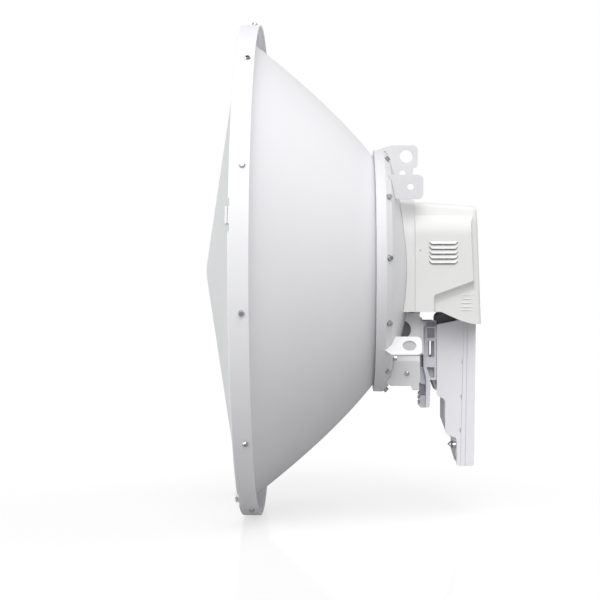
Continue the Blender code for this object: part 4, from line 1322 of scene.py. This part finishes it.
@dataclass
class Mount:
    """The radio's carrier: cross plate, spine, two windowed cheeks and the release latch.

    The views are outlines seen from the side, as (x, z) or (x, z, rounding radius). The upper and the middle
    window are given as (left, low, right, high).
    """

    outer: float = 0.0380
    inner: float = 0.0345
    cross: Box = ((0.1990, -0.0577, -0.1100), (0.2120, 0.0577, -0.0660))
    spine: Box = ((0.2123, -0.0342, -0.1000), (0.2184, 0.0342, -0.0660))
    view: Outline = (
        (0.2139, -0.0660, 0.0015), (0.2139, -0.1240), (0.2210, -0.1427), (0.2228, -0.1442),
        (0.2300, -0.1442), (0.2300, -0.0660, 0.0015),
    )
    upper: Numbers = (0.2178, -0.0890, 0.2276, -0.0760)
    middle: Numbers = (0.2190, -0.1140, 0.2270, -0.0930)
    middle_far: float = 0.0010
    lower: Outline = (
        (0.2275, -0.1412, 0.0004), (0.2275, -0.1275, 0.0004), (0.2172, -0.1275, 0.0004),
        (0.2215, -0.1412, 0.0004),
    )
    rebate: Box = ((0.2151, 0.0335, -0.0742), (0.2288, 0.0425, -0.0674))
    chamber_width: float = 0.0600
    chamber_view: Outline = (
        (0.2180, -0.0664), (0.2180, -0.1340), (0.2213, -0.1415), (0.2243, -0.1446), (0.2300, -0.1588),
        (0.2300, -0.1448), (0.2286, -0.1448), (0.2286, -0.1146, 0.0008), (0.2213, -0.1146, 0.0008),
        (0.2213, -0.0924, 0.0008), (0.2286, -0.0924, 0.0008), (0.2286, -0.0664),
    )
    chamber_lip: Box = ((0.2242, -0.0300, -0.1150), (0.2294, -0.0220, -0.0920))
    latch_width: float = 0.0280
    latch_view: Outline = (
        (0.2123, -0.1103, 0.0005), (0.2153, -0.1103, 0.0005), (0.2153, -0.1216, 0.0060),
        (0.2224, -0.1404, 0.0060), (0.2224, -0.1824, 0.0025), (0.2167, -0.1824, 0.0006),
        (0.2167, -0.1404, 0.0060), (0.2123, -0.1216, 0.0060),
    )
    arm_y: Point = (0.0383, 0.0410)
    arm_view: Outline = (
        (0.2126, -0.0985, 0.0010), (0.2150, -0.0985, 0.0010), (0.2150, -0.1160, 0.0100),
        (0.2175, -0.1300, 0.0100), (0.2216, -0.1430, 0.0060), (0.2222, -0.1510, 0.0100),
        (0.2208, -0.1803, 0.0020), (0.2158, -0.1803, 0.0006), (0.2163, -0.1490, 0.0100),
        (0.2158, -0.1400, 0.0060), (0.2126, -0.1262, 0.0060),
    )
    arm_tie: Box = ((0.2168, 0.0143, -0.1590), (0.2205, 0.0380, -0.1520))
    web_width: float = 0.0670
    web_view: Outline = (
        (0.2056, -0.1440, 0.0060), (0.2106, -0.1500, 0.0030), (0.2156, -0.1500, 0.0010), (0.2156, -0.1389),
        (0.2123, -0.1272), (0.2056, -0.1272),
    )
    grip_front: float = 0.2085
    grip_back: float = 0.2166
    grip_top: float = -0.1540
    grip_foot: float = -0.1820
    grip_ribs: int = 4
    grip_pitch: float = 0.0064
    grip_ridge: float = 0.0030
    grip_groove: float = 0.0047
    grip_depth: float = 0.0023
    grip_half: float = 0.0120
    grip_edge: float = 0.0009
    grip_toe: Point = (0.0006, 0.0025)
    grip_heel: Numbers = (0.0030, 0.0020, 0.0008)
    thumb_half: float = 0.0220
    thumb_top: float = -0.1652
    neck: Box = ((0.2095, -0.0110, -0.1519), (0.2166, 0.0110, -0.1501))
    stem: Box = ((0.2068, -0.0320, -0.1271), (0.2118, 0.0320, -0.1104))

    def cheek(self, side: Side) -> Solid:
        """A side cheek with its three windows."""
        windows = [self.lower]
        for (left, low, right, high), more in ((self.upper, 0.0), (self.middle, self.middle_far)):
            right += more if side is Side.FAR else 0.0
            corners = ((left, low), (right, low), (right, high), (left, high))
            windows.append([(*corner, 0.0008) for corner in corners])
        work = Form.plate(self.view, self.outer - self.inner, windows)
        work = Form.upright(work, side * (self.outer + self.inner) / 2.0)
        return Form.eased(Form.carved(work, Form.beside(side, self.rebate)), 0.0004, 30.0)

    def arms(self) -> Solid:
        """The lever's two side arms outside the cheeks, with their ties to the middle arm."""
        inner, outer = self.arm_y
        arms = [Form.slab(self.arm_view, outer - inner, 0.0005, side * (inner + outer) / 2.0, steps=5)
                for side in Side]
        return Form.joined([*arms, Form.twins(self.arm_tie, 0.0004)])

    def ribbed(self, half: float, low: float, high: float) -> Solid:
        """The lever's ribbed foot, cut to a width and a height.

        Args:
            half: Half its width.
            low: Where it ends below.
            high: Where it ends above.

        Returns:
            The part of the foot.
        """
        front, back, depth = self.grip_front, self.grip_back, self.grip_depth
        inset, toe = self.grip_toe
        ribs = [(back, self.grip_foot), (front + inset, self.grip_foot, toe)]
        for index in reversed(range(self.grip_ribs)):
            top = self.grip_top - depth - index * self.grip_pitch
            if index < self.grip_ribs - 1:
                ribs.append((front + depth, top - self.grip_groove, 0.0003))
                ribs.append((front, top - self.grip_ridge, self.grip_edge))
            ribs.append((front, top, self.grip_edge))
        inset, rise, heel = self.grip_heel
        ribs += [(front + inset, self.grip_top + rise, heel), (back, self.grip_top + rise)]
        box = Form.block(((front - SPARE, -half - SPARE, low), (back + SPARE, half + SPARE, high)))
        work = Form.upright(Form.plate(ribs, 2.0 * half, steps=4))
        return Form.eased(Form.carved(work, box, Cut.COMMON), 0.0005, 60.0)

    def build(self) -> None:
        """Makes the cross plate, the spine, the cheeks, the inner block and the latch; the inner block and
        the latch's neck wear painted shade.
        """
        Shop.piece("cross_plate", Form.block(self.cross, 0.0006), Palette.BRACKET, "mount_cross_plate")
        Shop.piece("mount_spine", Form.block(self.spine, 0.0006), Palette.MOUNT, "radio_mount_spine")
        # The inner block behind the windows wears the mount plastic's darker copy: painted shade.
        chamber = Form.joined([Form.slab(self.chamber_view, self.chamber_width, 0.0005),
                               Form.block(self.chamber_lip, 0.0004)])
        Shop.piece("mount_chamber", chamber, Palette.MOUNT_PAINTED_SHADE)
        Shop.pair("mount_cheek", self.cheek, Palette.MOUNT,
                  ("radio_mount_cheek_near", "radio_mount_cheek_far"))
        latch = Form.slab(self.latch_view, self.latch_width, 0.0006, steps=5)
        Shop.piece("release_latch", latch, Palette.MOUNT, "radio_latch")
        Shop.piece("latch_arms", self.arms(), Palette.MOUNT)
        Shop.piece("latch_web", Form.slab(self.web_view, self.web_width, 0.0004), Palette.MOUNT)
        thumb = self.ribbed(self.thumb_half, 2.0 * self.grip_foot, self.thumb_top)
        Shop.piece("latch_thumb", thumb, Palette.MOUNT)
        # The latch's neck, stem and upper ribs wear the mount plastic's darker copy: painted shade where
        # they sit back in shadow.
        root = self.ribbed(self.grip_half, self.thumb_top + 0.0001, 0.0)
        neck = Form.joined([root, Form.block(self.neck), Form.block(self.stem, 0.0008)])
        Shop.piece("latch_neck", neck, Palette.MOUNT_PAINTED_SHADE)


@dataclass
class Radio:
    """The slab radio: metal core, side housings, band, rear shell, feed adapter and ground screw.

    The views and fronts are outlines seen from the side, as (x, z) or (x, z, rounding radius). A seam is
    given by where it lies along the axis at the top and at the bottom.
    """

    half: float = 0.0410
    core_half: float = 0.0360
    back_half: float = 0.0412
    top: float = -0.0640
    bottom: float = -0.2570
    seam: Point = (0.2659, 0.2607)
    near_front: Outline = (
        (0.2562, -0.2570, 0.0030), (0.2562, -0.2205, 0.0040), (0.2412, -0.2150, 0.0050),
        (0.2412, -0.1700, 0.0040), (0.2303, -0.1645, 0.0050),
    )
    core_front: Outline = (
        (0.2598, -0.2570), (0.2552, -0.2421), (0.2552, -0.2256), (0.2481, -0.2195, 0.0020),
        (0.2406, -0.1985, 0.0030), (0.2406, -0.1731, 0.0020), (0.2303, -0.1495, 0.0030),
    )
    side_crown: Outline = ((0.2303, -0.0712, 0.0020), (0.2560, -0.0661))
    core_crown: Outline = ((0.2303, -0.0760), (0.2560, -0.0690))
    core_top: float = -0.0665
    band_view: Outline = ((0.2609, -0.2570), (0.2672, -0.2570), (0.2706, -0.0640), (0.2661, -0.0640))
    back_view: Outline = (
        (0.2674, -0.2572), (0.2790, -0.2572, 0.0035), (0.2816, -0.0640, 0.0030), (0.2708, -0.0640),
    )
    adapter_foot: float = 0.2349
    adapter_view: Outline = (
        (0.2560, 0.0100, 0.0030), (0.2400, 0.0100, 0.0030), (0.2400, -0.0555, 0.0020),
        (0.2309, -0.0555, 0.0070), (0.2309, -0.0680, 0.0040),
    )
    adapter_width: float = 0.0640
    screw: Numbers = (0.2549, -0.0350, -0.2301)
    nut_radius: float = 0.0044
    nut_height: float = 0.0038
    lug_width: float = 0.0030
    lug_view: Outline = (
        (0.2446, -0.2288, 0.0002), (0.2496, -0.2244, 0.0002), (0.2510, -0.2252), (0.2510, -0.2341),
    )
    lug_eye: Outline = ((0.2465, -0.2289), (0.2495, -0.2263), (0.2499, -0.2269), (0.2499, -0.2315))
    slot_heights: Numbers = (-0.1213, -0.1665, -0.2103)
    slot_depth: float = 0.0018
    slot_height: float = 0.0050
    slot_reach: float = 0.0030
    edge: float = 0.0005
    housing_edge: float = 0.0007
    adapter_edge: float = 0.0012

    def seam_at(self, height: float) -> float:
        """Where the leaning seam behind the housings lies at a height."""
        share = (self.top - height) / (self.top - self.bottom)
        return self.seam[0] + (self.seam[1] - self.seam[0]) * share

    def core(self) -> Solid:
        """The metal core between the side housings."""
        outline = [(self.seam[1], self.bottom), *self.core_front, *self.core_crown,
                   (self.seam_at(self.core_top), self.core_top)]
        return Form.slab(outline, 2.0 * self.core_half, self.edge, angle=40.0)

    def housing(self, side: Side) -> Solid:
        """A side housing: rounded steps on the near one, sloping steps on the far one."""
        inner = self.core_half + GAP
        front = self.near_front if side is Side.NEAR else self.core_front
        outline = [(self.seam[1], self.bottom), *front, *self.side_crown, (self.seam[0], self.top)]
        work = Form.upright(Form.plate(outline, self.half - inner), side * (self.half + inner) / 2.0)
        slots = []
        for height in self.slot_heights:
            seam = self.seam_at(height)
            low = (seam - self.slot_depth, self.half - self.slot_reach, height - self.slot_height / 2.0)
            high = (seam + SPARE, self.half + self.slot_reach, height + self.slot_height / 2.0)
            slots.append(Form.beside(side, (low, high)))
        work = Form.eased(work, self.housing_edge, 50.0, before=self.seam[1] - GAP)
        return Form.carved(work, Form.joined(slots))

    def adapter(self) -> Solid:
        """The black block between the radio and the feed, which stands on the core's slope."""
        (front, low), (back, high) = self.core_crown
        rest = low + (high - low) / (back - front) * (self.adapter_foot - front) + GAP
        outline = [(self.adapter_foot, rest), (back, high + GAP), *self.adapter_view]
        return Form.slab(outline, self.adapter_width, self.adapter_edge)

    def earthing(self) -> tuple[Solid, Solid]:
        """The earthing screw's knurled nut, and the bent lug that it holds."""
        nut = Form.stud(self.nut_radius, self.nut_height, 14, 0.0004)
        turn = Matrix.Translation(self.screw) @ Matrix.Rotation(-math.pi / 2.0, 4, "Y")
        lug = Form.plate(self.lug_view, self.lug_width, [self.lug_eye])
        return Form.moved(nut, turn), Form.upright(lug, self.screw[1])

    def build(self) -> None:
        """Makes the radio's parts."""
        Shop.piece("radio_chassis", self.core(), Palette.CORE, "radio_core")
        Shop.pair("radio_housing", self.housing, Palette.RADIO, ("radio_side_near", "radio_side_far"))
        band = Form.slab(self.band_view, 2.0 * self.half, 0.0002)
        Shop.piece("radio_middle_band", band, Palette.RADIO, "radio_band")
        back = Form.slab(self.back_view, 2.0 * self.back_half, self.edge, segments=3)
        Shop.piece("radio_back", back, Palette.RADIO, "radio_rear_shell")
        Shop.piece("adapter_block", self.adapter(), Palette.BLACK, "feed_adapter")
        nut, lug = self.earthing()
        Shop.piece("earthing_screw", nut, Palette.STEEL, "ground_screw", 30.0)
        Shop.piece("earthing_lug", lug, Palette.LUG, crease=30.0)


# Studio


@dataclass(frozen=True)
class SoftBox:
    """A soft light far off, with the bearing of its middle in degrees.

    The turn is 0 on the camera's side and 90 behind the radio; the rise is 90 overhead.
    """

    turn: float
    rise: float
    strength: float
    focus: float = 20.0

    @property
    def aim(self) -> Numbers:
        """The direction towards the light."""
        turn, rise = math.radians(self.turn), math.radians(self.rise)
        return (math.sin(turn) * math.cos(rise), -math.cos(turn) * math.cos(rise), math.sin(rise))


@dataclass
class Studio:
    """A white room: a pale floor, soft boxes in front and above, and the photograph's camera."""

    focal: float = 84.04
    sensor: float = 36.0
    camera_spot: Numbers = (0.0950, -1.8847, -0.03909)
    camera_turn: float = 0.02412
    floor_size: float = 30.0
    floor_gap: float = 0.0004
    floor_shade: float = 0.30
    floor_bounce: float = 0.123
    floor_seen: float = 0.32
    floor_glow: float = 0.70
    floor_sheen: float = 0.12
    floor_mottle: float = 0.01
    floor_mottle_scale: float = 3.0
    floor_gloss: float = 0.10
    clip_end: float = 100.0
    boxes: tuple[SoftBox, ...] = (
        SoftBox(0.0, 10.0, 0.50),
        SoftBox(0.0, 30.0, 1.35),
        SoftBox(0.0, 45.0, 3.50),
        SoftBox(-42.0, 45.0, 0.35),
        SoftBox(42.0, 45.0, 0.35),
        SoftBox(0.0, 60.0, 2.60),
        SoftBox(90.0, 65.0, 1.05),
        SoftBox(-45.0, 12.0, 0.45),
        SoftBox(-90.0, 5.0, 1.80),
        SoftBox(-90.0, 0.0, 2.65, 6.0),
        SoftBox(-45.0, 0.0, 0.95, 6.0),
        SoftBox(90.0, 45.0, 1.50, 6.0),
        SoftBox(180.0, 0.0, 0.90, 6.0),
    )

    def camera(self) -> None:
        """Sets the camera where the photograph was taken from."""
        data = bpy.data.cameras.new("camera")
        data.lens = self.focal
        data.sensor_width = self.sensor
        data.clip_end = self.clip_end
        item = set_out("camera", data)
        item.location = ORIGIN + Vector(self.camera_spot)
        item.rotation_euler = (math.pi / 2.0, 0.0, self.camera_turn)
        bpy.context.scene.camera = item

    def world(self) -> None:
        """A backdrop that looks white and lights the object from its soft boxes."""
        world = bpy.data.worlds.new("studio")
        bpy.context.scene.world = world
        graph = Graph(world)
        here = graph.node("ShaderNodeTexCoord").outputs["Generated"]
        glow: Value | float = 0.0
        for box in self.boxes:
            facing = graph.node("ShaderNodeVectorMath", {"operation": "DOT_PRODUCT"}, {0: here, 1: box.aim})
            share = Value(graph, facing.outputs["Value"]).at_least(0.0).power(box.focus)
            glow = share * box.strength + glow
        light, seen = (graph.node("ShaderNodeBackground", None, {"Color": WHITE, "Strength": strength})
                       for strength in (glow, 1.0))
        graph.split("ShaderNodeOutputWorld", light, seen)

    def floor_material(self) -> bpy.types.Material:
        """A floor that bounces a little light, and that the camera sees as white but for soft shadows."""
        material = bpy.data.materials.new("floor")
        graph = Graph(material)
        looks = []
        for shade, glow in ((self.floor_shade, self.floor_bounce), (self.floor_seen, self.floor_glow)):
            mottle = graph.noise(self.floor_mottle_scale) * self.floor_mottle
            tone = mottle + (shade - self.floor_mottle / 2.0)
            grey = graph.node("ShaderNodeCombineColor", None, {0: tone, 1: tone, 2: tone}).outputs[0]
            matt = graph.node("ShaderNodeBsdfDiffuse", None, {"Color": grey})
            light = graph.node("ShaderNodeEmission", None, {"Color": WHITE, "Strength": glow})
            looks.append(graph.node("ShaderNodeAddShader", None, {0: matt.outputs[0], 1: light.outputs[0]}))
        sheen = graph.node("ShaderNodeBsdfGlossy", None, {"Color": WHITE, "Roughness": self.floor_gloss})
        graph.split("ShaderNodeOutputMaterial", looks[0], graph.mixed(self.floor_sheen, looks[1], sheen))
        return material

    def floor(self) -> None:
        """A pale floor just under the hoop."""
        low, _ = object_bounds()
        work = bmesh.new()
        bmesh.ops.create_grid(work, x_segments=1, y_segments=1, size=self.floor_size / 2.0)
        bmesh.ops.translate(work, verts=work.verts, vec=(0.0, 0.0, low.z - self.floor_gap))
        mesh = Form.mesh(work, "floor")
        mesh.materials.append(self.floor_material())
        set_out("floor", mesh)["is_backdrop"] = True

    def build(self) -> None:
        """Makes the camera, the lit room and its floor."""
        scene = bpy.context.scene
        scene.view_settings.view_transform = "Standard"
        scene.view_settings.look = "None"
        self.camera()
        self.world()
        self.floor()


def main() -> None:
    """Builds the dish's sub-assemblies in order, then the studio."""
    logging.basicConfig(level=logging.INFO, format="%(message)s")
    rim = Rim()
    dish = Dish(rim)
    hub = Hub(dish)
    for part in (rim, dish, hub, Bracket(hub), Cover(hub), Mount(), Radio(), Studio()):
        part.build()


if __name__ == "__main__":
    main()
